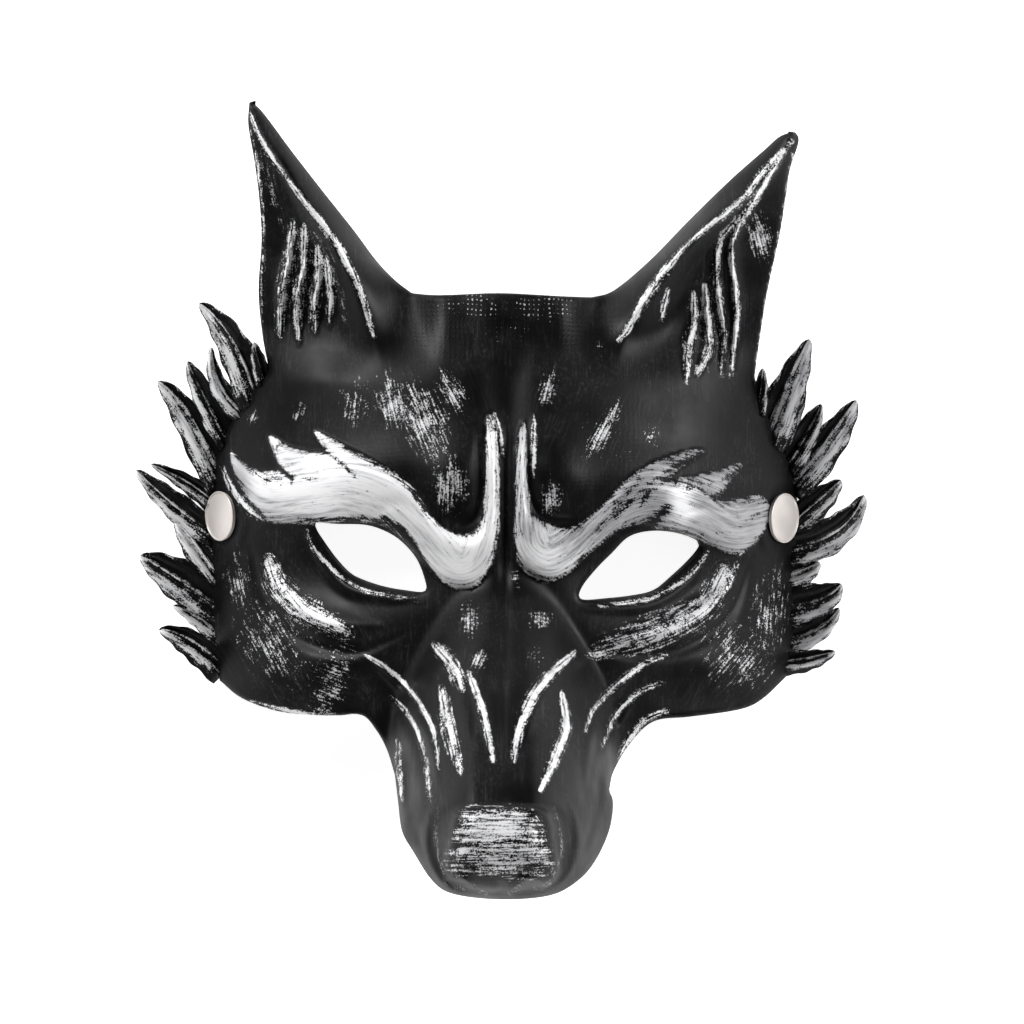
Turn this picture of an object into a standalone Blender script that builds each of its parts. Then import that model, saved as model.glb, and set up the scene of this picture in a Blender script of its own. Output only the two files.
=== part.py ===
"""Moulded wolf half mask with a snap at each temple, lying on its back rim with the face up.

Metres, +Z out of the face, +Y to the ears, +X to the right of the front view. The mask is charted
on a front view whose unit is a share of the named sizes: CHART_WIDE units span FACE_WIDTH, and the
units between CHART_EDGE and CHART_LIP span FACE_HEIGHT.
"""

import math

import bmesh
import bpy
import numpy as np
from mathutils import Vector

# Driving sizes of the moulding
FACE_WIDTH = 0.1785
FACE_HEIGHT = 0.1809
EAR_HEIGHT = 0.0579
TEMPLE_DROP = 0.0527
SNOUT_REACH = 0.0620
WALL = 0.0022
RIM_DEPTH = 0.0008
EYE_LENGTH = 0.0340
EYE_GAP = 0.0470

# Relief of the moulding, each measured from the surface round it
BROW_RISE = 0.0034
FOLD_RISE = 0.0016
SOCKET_DEPTH = 0.0060
EAR_FLANK = 0.0130
EAR_CUP = 0.0070
NOSE_RISE = 0.0024
NOSTRIL_DEPTH = 0.0022
DEEPEST_CUT = 0.0010

# Fur locks along the sides
LOCK_THICKNESS = 0.0034
LOCK_ROOT = 0.0045
LOCK_STATIONS = 6

# Snaps at the temples
CAP_DIAMETER = 0.0150
CAP_THICKNESS = 0.0012
CAP_LIP = 0.0003
CAP_LIP_WIDTH = 0.0006
SHANK_DIAMETER = 0.0040
SHANK_FREE_END = 0.0030
STUD_FLANGE_DIAMETER = 0.0110
STUD_FLANGE_THICKNESS = 0.0008
STUD_DIAMETER = 0.0074
STUD_NECK_DIAMETER = 0.0066
STUD_HEIGHT = 0.0034
SEAT_MARGIN = 0.0020
SEAT_BLEND = 0.0050
CLEARANCE = 0.0003

# The front chart: how many units the named sizes span, and where they start
CHART_MIDDLE = 503
CHART_WIDE = 595
CHART_EDGE = 295
CHART_LIP = 898
CHART_EAR_TIP = 102
CHART_EYE_LENGTH = 117
CHART_EYE_GAP = 155

ACROSS_UNIT = FACE_WIDTH / CHART_WIDE
DOWN_UNIT = FACE_HEIGHT / (CHART_LIP - CHART_EDGE)
EAR_UNIT = EAR_HEIGHT / (CHART_EDGE - CHART_EAR_TIP)
FOREHEAD_EDGE = FACE_HEIGHT / 2

# Mesh density of the moulding before it is thinned, and the share of faces that is kept
GRID_STEP = 0.0022
KEPT_FACES = 0.19
CURVE_STEPS = 3

# Edge of the moulding, clockwise from the tip of the left ear. A stretch is smooth inside and
# meets the next one at a corner. Columns: across, down, in chart units.
EDGE = {
    "left_ear_inside": [
        (249, 102), (261, 110), (291, 150), (322, 190), (353, 229), (376, 260), (395, 280), (412, 293),
    ],
    "forehead": [(412, 293), (440, 295), (500, 293), (560, 296), (592, 297)],
    "right_ear_inside": [
        (592, 297), (614, 290), (650, 260), (689, 220), (730, 180), (764, 150), (780, 136), (795, 131),
    ],
    "right_ear_outside": [
        (795, 131), (799, 141), (790, 170), (786, 200), (779, 240), (768, 290), (760, 340), (755, 376),
    ],
    "right_side": [
        (755, 376), (763, 405), (779, 438), (791, 470), (799, 505), (801, 540), (799, 580), (797, 620),
        (793, 655), (787, 677),
    ],
    "right_cheek": [(787, 677), (762, 700), (739, 710), (690, 717), (655, 721), (633, 740), (614, 770), (609, 790)],
    "muzzle": [
        (609, 790), (613, 803), (609, 830), (595, 860), (577, 880), (550, 894), (503, 898), (455, 893),
        (433, 880), (413, 850), (402, 830), (398, 800), (395, 775),
    ],
    "left_cheek": [(395, 775), (387, 750), (376, 730), (361, 715), (330, 716), (280, 712), (242, 699), (219, 681)],
    "left_side": [
        (219, 681), (213, 655), (209, 620), (206, 580), (204, 540), (205, 505), (212, 468), (224, 436),
        (242, 402), (269, 372),
    ],
    "left_ear_outside": [
        (269, 372), (262, 335), (258, 290), (261, 240), (259, 200), (254, 160), (248, 125), (249, 102),
    ],
}

# Eye holes, clockwise from the corner by the nose. Columns: across and down from the hole's middle,
# in chart units that EYE_LENGTH sets.
EYES = {
    "left": {
        "middle": (369, 557),
        "side": -1,
        "edge": [
            (56, 34), (55, 20), (47, 1), (33, -15), (18, -25), (-3, -32), (-32, -33), (-56, -34), (-56, -26),
            (-48, -14), (-36, 1), (-22, 14), (-7, 22), (14, 29), (36, 33),
        ],
    },
    "right": {
        "middle": (641, 565),
        "side": 1,
        "edge": [
            (-60, 34), (-59, 22), (-44, 3), (-29, -12), (-14, -27), (2, -33), (22, -34), (43, -30), (60, -22),
            (60, -15), (48, -2), (32, 11), (12, 25), (-8, 30), (-34, 33),
        ],
    },
}

# Sections of the face from the forehead to the lip. Columns: down, middle and side as shares of
# TEMPLE_DROP: how far the middle lies behind the brow, and how far the temple falls behind that.
FACE_SECTIONS = [
    {"down": 100, "middle": -0.30, "side": 0.60},
    {"down": 295, "middle": -0.22, "side": 0.76},
    {"down": 400, "middle": -0.05, "side": 0.94},
    {"down": 500, "middle": 0.00, "side": 1.00},
    {"down": 600, "middle": -0.02, "side": 0.98},
    {"down": 715, "middle": -0.10, "side": 0.80},
    {"down": 900, "middle": -0.16, "side": 0.70},
]

# How round the face is across: 0 is flat, 1 is a half circle.
FACE_ROUNDNESS = 0.875

# Sections of the muzzle. Columns: down, ridge and flank as shares of SNOUT_REACH, and the flat top's
# and the lip's half widths in chart units.
MUZZLE_SECTIONS = [
    {"down": 545, "ridge": -0.16, "flank": 0.10, "top": 8, "lip": 40},
    {"down": 600, "ridge": 0.08, "flank": 0.30, "top": 20, "lip": 66},
    {"down": 650, "ridge": 0.32, "flank": 0.56, "top": 34, "lip": 92},
    {"down": 700, "ridge": 0.55, "flank": 0.76, "top": 42, "lip": 108},
    {"down": 750, "ridge": 0.76, "flank": 0.88, "top": 47, "lip": 112},
    {"down": 800, "ridge": 0.94, "flank": 0.84, "top": 52, "lip": 110},
    {"down": 845, "ridge": 1.00, "flank": 0.78, "top": 55, "lip": 104},
    {"down": 872, "ridge": 0.95, "flank": 0.68, "top": 52, "lip": 98},
    {"down": 890, "ridge": 0.80, "flank": 0.52, "top": 46, "lip": 92},
    {"down": 905, "ridge": 0.58, "flank": 0.40, "top": 40, "lip": 88},
]
MUZZLE_FLANK_CURVE = 1.7
MUZZLE_BLEND = 0.0060

# Sections of each ear. Columns: down, outer and inner edges and the crest between them in chart
# units, and the crest's height as a share of TEMPLE_DROP.
EAR_SECTIONS = {
    "left": [
        {"down": 100, "outer": 246, "crest": 249, "inner": 252, "height": -0.30},
        {"down": 130, "outer": 249, "crest": 262, "inner": 276, "height": -0.26},
        {"down": 170, "outer": 255, "crest": 288, "inner": 306, "height": -0.23},
        {"down": 210, "outer": 260, "crest": 313, "inner": 338, "height": -0.22},
        {"down": 250, "outer": 261, "crest": 337, "inner": 367, "height": -0.22},
        {"down": 290, "outer": 258, "crest": 357, "inner": 406, "height": -0.23},
        {"down": 330, "outer": 261, "crest": 371, "inner": 420, "height": -0.24},
        {"down": 400, "outer": 266, "crest": 390, "inner": 430, "height": -0.24},
    ],
    "right": [
        {"down": 100, "outer": 803, "crest": 799, "inner": 795, "height": -0.32},
        {"down": 140, "outer": 799, "crest": 790, "inner": 776, "height": -0.28},
        {"down": 180, "outer": 790, "crest": 762, "inner": 730, "height": -0.24},
        {"down": 220, "outer": 783, "crest": 716, "inner": 689, "height": -0.22},
        {"down": 260, "outer": 775, "crest": 676, "inner": 649, "height": -0.22},
        {"down": 290, "outer": 768, "crest": 654, "inner": 614, "height": -0.23},
        {"down": 330, "outer": 762, "crest": 628, "inner": 590, "height": -0.24},
        {"down": 400, "outer": 756, "crest": 608, "inner": 575, "height": -0.24},
    ],
}
EAR_FLANK_CURVE = 1.5
EAR_CUP_SHARE = 0.34
EAR_EDGE_FALL = 0.0150
EAR_BLEND_FROM = 385
EAR_BLEND_TO = 300

# Raised brows, as closed outlines in chart units, clockwise from the outer tip.
BROWS = {
    "left": [
        (229, 452), (250, 468), (279, 470), (268, 436), (292, 448), (325, 452), (314, 431), (345, 446),
        (385, 467), (412, 487), (432, 518), (450, 532), (472, 534), (484, 510), (487, 418), (497, 440),
        (499, 520), (492, 560), (475, 586), (455, 588), (432, 572), (408, 545), (385, 526), (352, 521),
        (300, 524), (262, 518), (243, 495),
    ],
    "right": [
        (762, 497), (738, 500), (716, 500), (742, 465), (712, 473), (668, 478), (705, 450), (665, 458),
        (630, 478), (596, 512), (572, 528), (548, 524), (530, 505), (525, 423), (517, 450), (515, 540),
        (522, 568), (545, 581), (568, 572), (592, 550), (625, 526), (655, 527), (700, 540), (735, 554),
        (758, 540), (770, 515),
    ],
}
BROW_SLOPE_UNITS = 9

# Broad swellings (a positive height) and hollows (negative). Columns: across, down, half widths, tilt
# in degrees, and the height as a share of BROW_RISE.
SWELLINGS = [
    {"name": "left_brow_ridge", "across": 350, "down": 478, "wide": 115, "high": 42, "tilt": 12, "rise": 0.9},
    {"name": "right_brow_ridge", "across": 660, "down": 482, "wide": 115, "high": 42, "tilt": -12, "rise": 0.9},
    {"name": "left_frown", "across": 452, "down": 478, "wide": 34, "high": 52, "tilt": -20, "rise": 1.0},
    {"name": "right_frown", "across": 560, "down": 476, "wide": 34, "high": 52, "tilt": 20, "rise": 1.0},
    {"name": "brow_valley", "across": 506, "down": 380, "wide": 26, "high": 110, "tilt": 0, "rise": -0.8},
    {"name": "left_cheek", "across": 300, "down": 668, "wide": 62, "high": 30, "tilt": 15, "rise": 0.7},
    {"name": "right_cheek", "across": 715, "down": 662, "wide": 62, "high": 34, "tilt": -15, "rise": 0.7},
    {"name": "left_lip", "across": 424, "down": 815, "wide": 20, "high": 50, "tilt": 0, "rise": 0.8},
    {"name": "right_lip", "across": 590, "down": 815, "wide": 20, "high": 50, "tilt": 0, "rise": 0.8},
]

# Folds that stand up (a positive rise) or are pressed in (negative). Columns: path in chart units,
# half width in chart units, and the rise as a share of FOLD_RISE.
FOLDS = [
    {"name": "left_lower_lid", "path": [(306, 530), (318, 556), (345, 585), (380, 596), (424, 600)], "half": 8, "rise": 1.2},
    {"name": "right_lower_lid", "path": [(708, 552), (690, 580), (655, 602), (620, 608), (582, 610)], "half": 8, "rise": 1.2},
    {"name": "left_eye_bag", "path": [(262, 560), (282, 598), (325, 622), (380, 626)], "half": 17, "rise": 1.6},
    {"name": "right_eye_bag", "path": [(738, 568), (718, 602), (675, 628), (610, 640)], "half": 17, "rise": 1.6},
    {"name": "left_bag_crease", "path": [(250, 545), (264, 600), (305, 640), (355, 652), (405, 634)], "half": 8, "rise": -1.1},
    {"name": "right_bag_crease", "path": [(752, 556), (730, 612), (690, 645), (640, 655), (590, 650)], "half": 8, "rise": -1.1},
    {"name": "nose_groove", "path": [(506, 430), (505, 520), (505, 620), (503, 700), (502, 780)], "half": 8, "rise": -0.9},
    {"name": "left_frown_crease", "path": [(477, 430), (480, 500), (466, 524), (444, 516)], "half": 8, "rise": -1.0},
    {"name": "right_frown_crease", "path": [(534, 430), (532, 495), (548, 518), (575, 518)], "half": 8, "rise": -1.0},
    {"name": "left_cheek_fold", "path": [(362, 655), (400, 690), (428, 735), (440, 790)], "half": 8, "rise": 1.3},
    {"name": "right_cheek_fold", "path": [(664, 655), (620, 685), (594, 725), (584, 790)], "half": 8, "rise": 1.3},
    {"name": "left_muzzle_fold", "path": [(440, 648), (458, 690), (470, 745)], "half": 9, "rise": 1.2},
    {"name": "right_muzzle_fold", "path": [(572, 655), (545, 690), (520, 745)], "half": 9, "rise": 1.2},
    {"name": "left_outer_fold", "path": [(388, 700), (412, 750), (424, 810)], "half": 9, "rise": 1.0},
    {"name": "right_outer_fold", "path": [(632, 705), (602, 760), (594, 810)], "half": 9, "rise": 1.0},
    {"name": "left_ear_fold_a", "path": [(296, 232), (287, 275), (283, 325)], "half": 7, "rise": 1.0},
    {"name": "left_ear_fold_b", "path": [(305, 240), (301, 280), (299, 332)], "half": 7, "rise": 1.1},
    {"name": "left_ear_fold_c", "path": [(318, 250), (318, 285), (317, 325)], "half": 7, "rise": 0.9},
    {"name": "right_ear_fold_a", "path": [(738, 232), (735, 280), (738, 375)], "half": 7, "rise": 1.1},
    {"name": "right_ear_fold_b", "path": [(722, 250), (718, 300), (722, 370)], "half": 7, "rise": 1.0},
    {"name": "right_ear_fold_c", "path": [(705, 275), (704, 320), (700, 365)], "half": 7, "rise": 0.9},
]

# Nose pad and nostrils, in chart units.
NOSE_PAD = [
    (458, 808), (503, 803), (546, 808), (556, 840), (560, 868), (548, 884), (503, 890), (458, 882),
    (444, 866), (449, 838),
]
NOSE_SLOPE_UNITS = 7
NOSTRILS = [
    {"across": 464, "down": 886, "wide": 14, "high": 5, "tilt": -12},
    {"across": 538, "down": 886, "wide": 14, "high": 5, "tilt": 12},
]

# Fur locks, each from its root on the side to its tip. Columns: root, bend and tip in chart units,
# half width in chart units, and the tip's lift towards the front in metres.
LOCKS = [
    {"name": "left_1", "root": (264, 382), "bend": (258, 362), "tip": (254, 342), "half": 8, "lift": 0.004},
    {"name": "left_2", "root": (252, 396), "bend": (232, 344), "tip": (199, 303), "half": 16, "lift": 0.007},
    {"name": "left_3", "root": (240, 412), "bend": (218, 385), "tip": (211, 347), "half": 9, "lift": 0.002},
    {"name": "left_4", "root": (226, 436), "bend": (204, 396), "tip": (187, 361), "half": 12, "lift": 0.006},
    {"name": "left_5", "root": (216, 478), "bend": (188, 420), "tip": (157, 381), "half": 15, "lift": 0.003},
    {"name": "left_6", "root": (208, 500), "bend": (186, 483), "tip": (150, 464), "half": 9, "lift": 0.006},
    {"name": "left_7", "root": (208, 532), "bend": (170, 502), "tip": (135, 470), "half": 13, "lift": 0.002},
    {"name": "left_8", "root": (214, 578), "bend": (192, 545), "tip": (174, 522), "half": 12, "lift": 0.001},
    {"name": "left_9", "root": (214, 606), "bend": (176, 578), "tip": (139, 556), "half": 20, "lift": 0.005},
    {"name": "left_10", "root": (216, 634), "bend": (196, 618), "tip": (172, 606), "half": 9, "lift": 0.001},
    {"name": "left_11", "root": (218, 668), "bend": (190, 644), "tip": (158, 630), "half": 14, "lift": 0.004},
    {"name": "right_1", "root": (758, 412), "bend": (761, 392), "tip": (763, 368), "half": 8, "lift": 0.004},
    {"name": "right_2", "root": (772, 436), "bend": (790, 388), "tip": (810, 339), "half": 17, "lift": 0.007},
    {"name": "right_3", "root": (788, 462), "bend": (806, 434), "tip": (822, 404), "half": 13, "lift": 0.003},
    {"name": "right_4", "root": (798, 482), "bend": (832, 440), "tip": (857, 400), "half": 16, "lift": 0.006},
    {"name": "right_5", "root": (796, 522), "bend": (822, 500), "tip": (842, 480), "half": 13, "lift": 0.002},
    {"name": "right_6", "root": (794, 546), "bend": (836, 532), "tip": (865, 495), "half": 17, "lift": 0.006},
    {"name": "right_7", "root": (790, 578), "bend": (806, 572), "tip": (821, 563), "half": 12, "lift": 0.002},
    {"name": "right_8", "root": (790, 606), "bend": (820, 600), "tip": (842, 584), "half": 17, "lift": 0.004},
    {"name": "right_9", "root": (790, 640), "bend": (818, 630), "tip": (840, 608), "half": 12, "lift": 0.001},
    {"name": "right_10", "root": (786, 664), "bend": (812, 660), "tip": (836, 652), "half": 10, "lift": 0.003},
]

# Width of a lock along its length, as shares of its length and of its half width.
LOCK_OUTLINE = [(0.0, 0.80), (0.25, 1.0), (0.5, 0.92), (0.75, 0.62), (0.92, 0.30), (1.0, 0.10)]

# Middles of the snaps, in chart units.
SNAPS = {"left": (222, 516), "right": (782, 518)}
SLOPE_STEP = 0.0001


def smooth_run(points, steps=CURVE_STEPS):
    """Points of a smooth curve through these, its ends kept."""
    through = np.array(points, float)
    padded = np.vstack([2 * through[0] - through[1], through, 2 * through[-1] - through[-2]])
    run = []
    for before, start, end, after in zip(padded, padded[1:], padded[2:], padded[3:]):
        for step in range(steps):
            t = step / steps
            run.append(
                0.5 * (2 * start + (end - before) * t + (2 * before - 5 * start + 4 * end - after) * t * t
                       + (3 * start - before - 3 * end + after) * t**3)
            )
    return np.array(run + [through[-1]])


def smooth_loop(points, steps=CURVE_STEPS):
    """Points of a smooth closed curve through these."""
    padded = list(points[-2:]) + list(points) + list(points[:3])
    whole = smooth_run(padded, steps)
    return whole[2 * steps:(2 + len(points)) * steps]


def place(across, down):
    """Row x and y of a point of the front chart."""
    across, down = np.asarray(across, float), np.asarray(down, float)
    x = (across - CHART_MIDDLE) * ACROSS_UNIT
    unit = np.where(down < CHART_EDGE, EAR_UNIT, DOWN_UNIT)
    return x, FOREHEAD_EDGE + (CHART_EDGE - down) * unit


def chart(x, y):
    """The front chart's across and down at a row x and y."""
    unit = np.where(y > FOREHEAD_EDGE, EAR_UNIT, DOWN_UNIT)
    return CHART_MIDDLE + x / ACROSS_UNIT, CHART_EDGE - (y - FOREHEAD_EDGE) / unit


def ease(t):
    """Rises smoothly from 0 to 1 as t does."""
    t = np.clip(t, 0, 1)
    return t * t * (3 - 2 * t)


def read_sections(rows, column, down):
    """A column of a section table at any height, smooth between its rows."""
    downs = np.array([row["down"] for row in rows], float)
    values = np.array([row[column] for row in rows], float)
    slopes = np.gradient(values, downs)
    down = np.clip(down, downs[0], downs[-1])
    i = np.clip(np.searchsorted(downs, down) - 1, 0, len(rows) - 2)
    span = downs[i + 1] - downs[i]
    t = (down - downs[i]) / span
    return (
        values[i] * (1 + 2 * t) * (1 - t) ** 2 + values[i + 1] * t * t * (3 - 2 * t)
        + span * (slopes[i] * t * (1 - t) ** 2 - slopes[i + 1] * t * t * (1 - t))
    )


def distance_to_run(across, down, run):
    """Distance from each chart point to a run of points, and how far along it the nearest place is."""
    best = np.full(across.shape, 1e9)
    along = np.zeros(across.shape)
    for i, (start, end) in enumerate(zip(run, run[1:])):
        step = end - start
        t = ((across - start[0]) * step[0] + (down - start[1]) * step[1]) / max(step @ step, 1e-9)
        t = np.clip(t, 0, 1)
        far = np.hypot(across - start[0] - t * step[0], down - start[1] - t * step[1])
        nearer = far < best
        best = np.where(nearer, far, best)
        along = np.where(nearer, (i + t) / (len(run) - 1), along)
    return best, along


def inside_loop(across, down, loop):
    """True where a chart point is inside a closed loop of points."""
    inside = np.zeros(across.shape, bool)
    for (x0, y0), (x1, y1) in zip(loop, np.roll(loop, -1, axis=0)):
        crosses = (y0 > down) != (y1 > down)
        rise = np.where(y1 == y0, 1e-9, y1 - y0)
        inside ^= crosses & (across < (x1 - x0) * (down - y0) / rise + x0)
    return inside


def plateau(across, down, loop, slope):
    """1 well inside a loop, 0 outside it, with a smooth slope just inside its edge."""
    far, _ = distance_to_run(across, down, np.vstack([loop, loop[:1]]))
    return np.where(inside_loop(across, down, loop), ease(far / slope), 0.0)


def bump(across, down, row):
    """A smooth hill of height 1 over a tilted oval."""
    tilt = math.radians(row["tilt"])
    dx, dy = across - row["across"], down - row["down"]
    u = (dx * math.cos(tilt) - dy * math.sin(tilt)) / row["wide"]
    v = (dx * math.sin(tilt) + dy * math.cos(tilt)) / row["high"]
    return np.exp(-1.4 * (u * u + v * v))


def smooth_max(a, b, blend):
    """The higher of two surfaces, with their crossing rounded over a height of blend."""
    gap = np.clip((blend - np.abs(a - b)) / blend, 0, 1)
    return np.maximum(a, b) + gap * gap * blend / 4


def dome_height(across, down):
    """The face itself, from temple to temple."""
    share = np.minimum(np.abs(across - CHART_MIDDLE) / (CHART_WIDE / 2), 1.04)
    fall = (1 - np.sqrt(1 - (FACE_ROUNDNESS * share) ** 2)) / (1 - math.sqrt(1 - FACE_ROUNDNESS**2))
    middle = read_sections(FACE_SECTIONS, "middle", down)
    return TEMPLE_DROP * (middle - read_sections(FACE_SECTIONS, "side", down) * fall)


def muzzle_height(across, down):
    """The muzzle, a ridge that runs forward and down between its flanks."""
    top = read_sections(MUZZLE_SECTIONS, "top", down)
    lip = read_sections(MUZZLE_SECTIONS, "lip", down)
    share = np.clip((np.abs(across - CHART_MIDDLE) - 0.5 * top) / (lip - 0.5 * top), 0, 3)
    flank = read_sections(MUZZLE_SECTIONS, "flank", down) * share**MUZZLE_FLANK_CURVE
    return SNOUT_REACH * (read_sections(MUZZLE_SECTIONS, "ridge", down) - flank)


def ear_height(across, down, side):
    """One ear: a crest, a steep flank towards the forehead and a cup towards the outer edge."""
    rows = EAR_SECTIONS[side]
    crest = read_sections(rows, "crest", down)
    outer = read_sections(rows, "outer", down)
    inner = read_sections(rows, "inner", down)
    flank = np.clip((across - crest) / (inner - crest), 0, 1.2)
    cup = np.clip((across - crest) / (outer - crest), 0, 1.1)
    size = np.clip(np.abs(inner - outer) / 110, 0.12, 1.0)
    deep = ease(cup / EAR_CUP_SHARE) * (1 - 0.35 * cup)
    height = TEMPLE_DROP * read_sections(rows, "height", down)
    return height - size * (
        EAR_FLANK * flank**EAR_FLANK_CURVE + EAR_CUP * deep + EAR_EDGE_FALL * cup
    )


def unseated_height(across, down):
    """The moulding's main form, before the flat seats of the snaps."""
    dome = dome_height(across, down)
    for eye in EYES.values():
        row = {"across": eye["middle"][0], "down": eye["middle"][1] + 8, "wide": 78, "high": 44, "tilt": 0}
        dome = dome - SOCKET_DEPTH * bump(across, down, row)
    for row in SWELLINGS:
        dome = dome + BROW_RISE * row["rise"] * bump(across, down, row)
    height = smooth_max(dome, muzzle_height(across, down), MUZZLE_BLEND)
    blend = ease((EAR_BLEND_FROM - down) / (EAR_BLEND_FROM - EAR_BLEND_TO))
    left = ear_height(across, down, "left")
    right = ear_height(across, down, "right")
    for ear, edge, way in ((left, 430, -1), (right, 575, 1)):
        near = ease(way * (across - edge) / 40)
        height = height + (ear - height) * blend * near
    return height


def snap_frame(side):
    """Middle of a snap on the moulding's surface, and the direction out of the surface there."""
    across, down = SNAPS[side]
    x, y = place(across, down)

    def lift(dx, dy):
        return float(unseated_height(*chart(np.array(x + dx), np.array(y + dy))))

    slope_x = (lift(SLOPE_STEP, 0) - lift(-SLOPE_STEP, 0)) / (2 * SLOPE_STEP)
    slope_y = (lift(0, SLOPE_STEP) - lift(0, -SLOPE_STEP)) / (2 * SLOPE_STEP)
    return Vector((float(x), float(y), lift(0, 0))), Vector((-slope_x, -slope_y, 1)).normalized()


SNAP_FRAMES = {side: snap_frame(side) for side in SNAPS}


def form_height(x, y):
    """The moulding's main form, with a flat seat under each snap."""
    height = unseated_height(*chart(x, y))
    for middle, out in SNAP_FRAMES.values():
        plane = middle.z - ((x - middle.x) * out.x + (y - middle.y) * out.y) / out.z
        away = np.sqrt((x - middle.x) ** 2 + (y - middle.y) ** 2 + (plane - middle.z) ** 2)
        flat_out_to = CAP_DIAMETER / 2 + SEAT_MARGIN
        seat = 1 - ease((away - flat_out_to) / SEAT_BLEND)
        height = height + (plane - height) * seat
    return height


def relief(x, y):
    """What stands out of, or is pressed into, the moulding's outer face."""
    across, down = chart(x, y)
    rise = np.zeros(across.shape)
    for outline in BROWS.values():
        rise += BROW_RISE * plateau(across, down, smooth_loop(outline), BROW_SLOPE_UNITS)
    for row in FOLDS:
        far, along = distance_to_run(across, down, smooth_run(row["path"]))
        half = row["half"] * (0.4 + 0.6 * np.sin(math.pi * np.clip(along, 0.02, 0.98)))
        rise += FOLD_RISE * row["rise"] * np.exp(-((far / half) ** 2))
    rise += NOSE_RISE * plateau(across, down, smooth_loop(NOSE_PAD), NOSE_SLOPE_UNITS)
    for row in NOSTRILS:
        rise -= NOSTRIL_DEPTH * bump(across, down, row)
    rise = smooth_max(rise, np.full(rise.shape, -DEEPEST_CUT), DEEPEST_CUT)
    for middle, _ in SNAP_FRAMES.values():
        away = np.hypot(x - middle.x, y - middle.y)
        rise *= ease((away - CAP_DIAMETER / 2) / SEAT_BLEND)
    return rise


def floor_height():
    """Height of the flat that the back rim rests on, before the model is moved onto z = 0."""
    return -TEMPLE_DROP - RIM_DEPTH


def material(name, colour, roughness, metallic):
    """A plain finish."""
    made = bpy.data.materials.new(name)
    made.use_nodes = True
    shader = made.node_tree.nodes["Principled BSDF"]
    shader.inputs["Base Color"].default_value = (*colour, 1)
    shader.inputs["Roughness"].default_value = roughness
    shader.inputs["Metallic"].default_value = metallic
    return made


def collection(name, shown=True):
    """A collection of the scene."""
    made = bpy.data.collections.new(name)
    made.hide_render = not shown
    bpy.context.scene.collection.children.link(made)
    return made


def add_object(name, mesh, into, finish=None):
    """An object of this mesh, in a collection."""
    made = bpy.data.objects.new(name, mesh)
    into.objects.link(made)
    if finish:
        mesh.materials.append(finish)
    return made


def evaluated_mesh(obj):
    """The mesh of an object with its modifiers applied and its doubled points merged."""
    graph = bpy.context.evaluated_depsgraph_get()
    mesh = bpy.data.meshes.new_from_object(obj.evaluated_get(graph), depsgraph=graph)
    work = bmesh.new()
    work.from_mesh(mesh)
    bmesh.ops.remove_doubles(work, verts=work.verts, dist=1e-6)
    work.to_mesh(mesh)
    work.free()
    return mesh


def cutter(name, mesh, into):
    """A helper object that cuts or joins and isn't part of the model."""
    made = add_object(name, mesh, into)
    made.hide_render = True
    made.display_type = "WIRE"
    return made


def add_boolean(obj, operation, other):
    """A Boolean modifier with the exact solver."""
    modifier = obj.modifiers.new(operation.title() + "_" + other.name, "BOOLEAN")
    modifier.operation = operation
    modifier.object = other
    modifier.solver = "EXACT"


def edge_loop():
    """The moulding's outline as row x and y, one closed run of points."""
    points = []
    for stretch in EDGE.values():
        points.extend(smooth_run(stretch)[:-1])
    across, down = np.array(points).T
    return np.stack(place(across, down), axis=1)


def eye_loop(eye):
    """An eye hole's outline as row x and y, placed by the gap between the eyes."""
    across, down = smooth_loop(eye["edge"]).T
    unit = EYE_LENGTH / CHART_EYE_LENGTH
    middle_x, middle_y = place(*eye["middle"])
    spread = eye["side"] * (EYE_GAP - CHART_EYE_GAP * ACROSS_UNIT) / 2
    return np.stack([middle_x + spread + across * unit, middle_y - down * unit], axis=1)


def outline_prism(into):
    """The front outline with its eye holes, as a tall prism."""
    curve = bpy.data.curves.new("outline", "CURVE")
    curve.dimensions = "2D"
    curve.fill_mode = "BOTH"
    curve.extrude = 2 * (TEMPLE_DROP + SNOUT_REACH)
    for loop in [edge_loop()] + [eye_loop(eye) for eye in EYES.values()]:
        spline = curve.splines.new("POLY")
        spline.points.add(len(loop) - 1)
        for point, (x, y) in zip(spline.points, loop):
            point.co = (x, y, 0, 1)
        spline.use_cyclic_u = True
    drawn = bpy.data.objects.new("outline_curve", curve)
    into.objects.link(drawn)
    mesh = evaluated_mesh(drawn)
    bpy.data.objects.remove(drawn)
    return cutter("outline_prism", mesh, into)


def moulded_sheet():
    """The main form as an open sheet that reaches a little past the outline."""
    loop = edge_loop()
    low, high = loop.min(axis=0) - GRID_STEP, loop.max(axis=0) + GRID_STEP
    columns, rows = np.ceil((high - low) / GRID_STEP).astype(int)
    work = bmesh.new()
    bmesh.ops.create_grid(work, x_segments=int(columns), y_segments=int(rows), size=0.5)
    flat = np.array([v.co[:2] for v in work.verts])
    at = (low + high) / 2 + flat * (high - low)
    for vert, (x, y), z in zip(work.verts, at, form_height(at[:, 0], at[:, 1])):
        vert.co = (x, y, z)
    mesh = bpy.data.meshes.new("sheet")
    work.to_mesh(mesh)
    work.free()
    return mesh


def moulded_slab(into):
    """The sheet given its wall, with the relief on the outer face only."""
    sheet = add_object("sheet", moulded_sheet(), into)
    outer_count = len(sheet.data.vertices)
    wall = sheet.modifiers.new("Wall", "SOLIDIFY")
    wall.thickness = WALL
    wall.offset = -1
    wall.use_even_offset = False
    mesh = evaluated_mesh(sheet)
    bpy.data.objects.remove(sheet)
    outer = mesh.vertices[:outer_count]
    at = np.array([v.co for v in outer])
    for vert, rise in zip(outer, relief(at[:, 0], at[:, 1])):
        vert.co.z += rise
    return mesh


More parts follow.
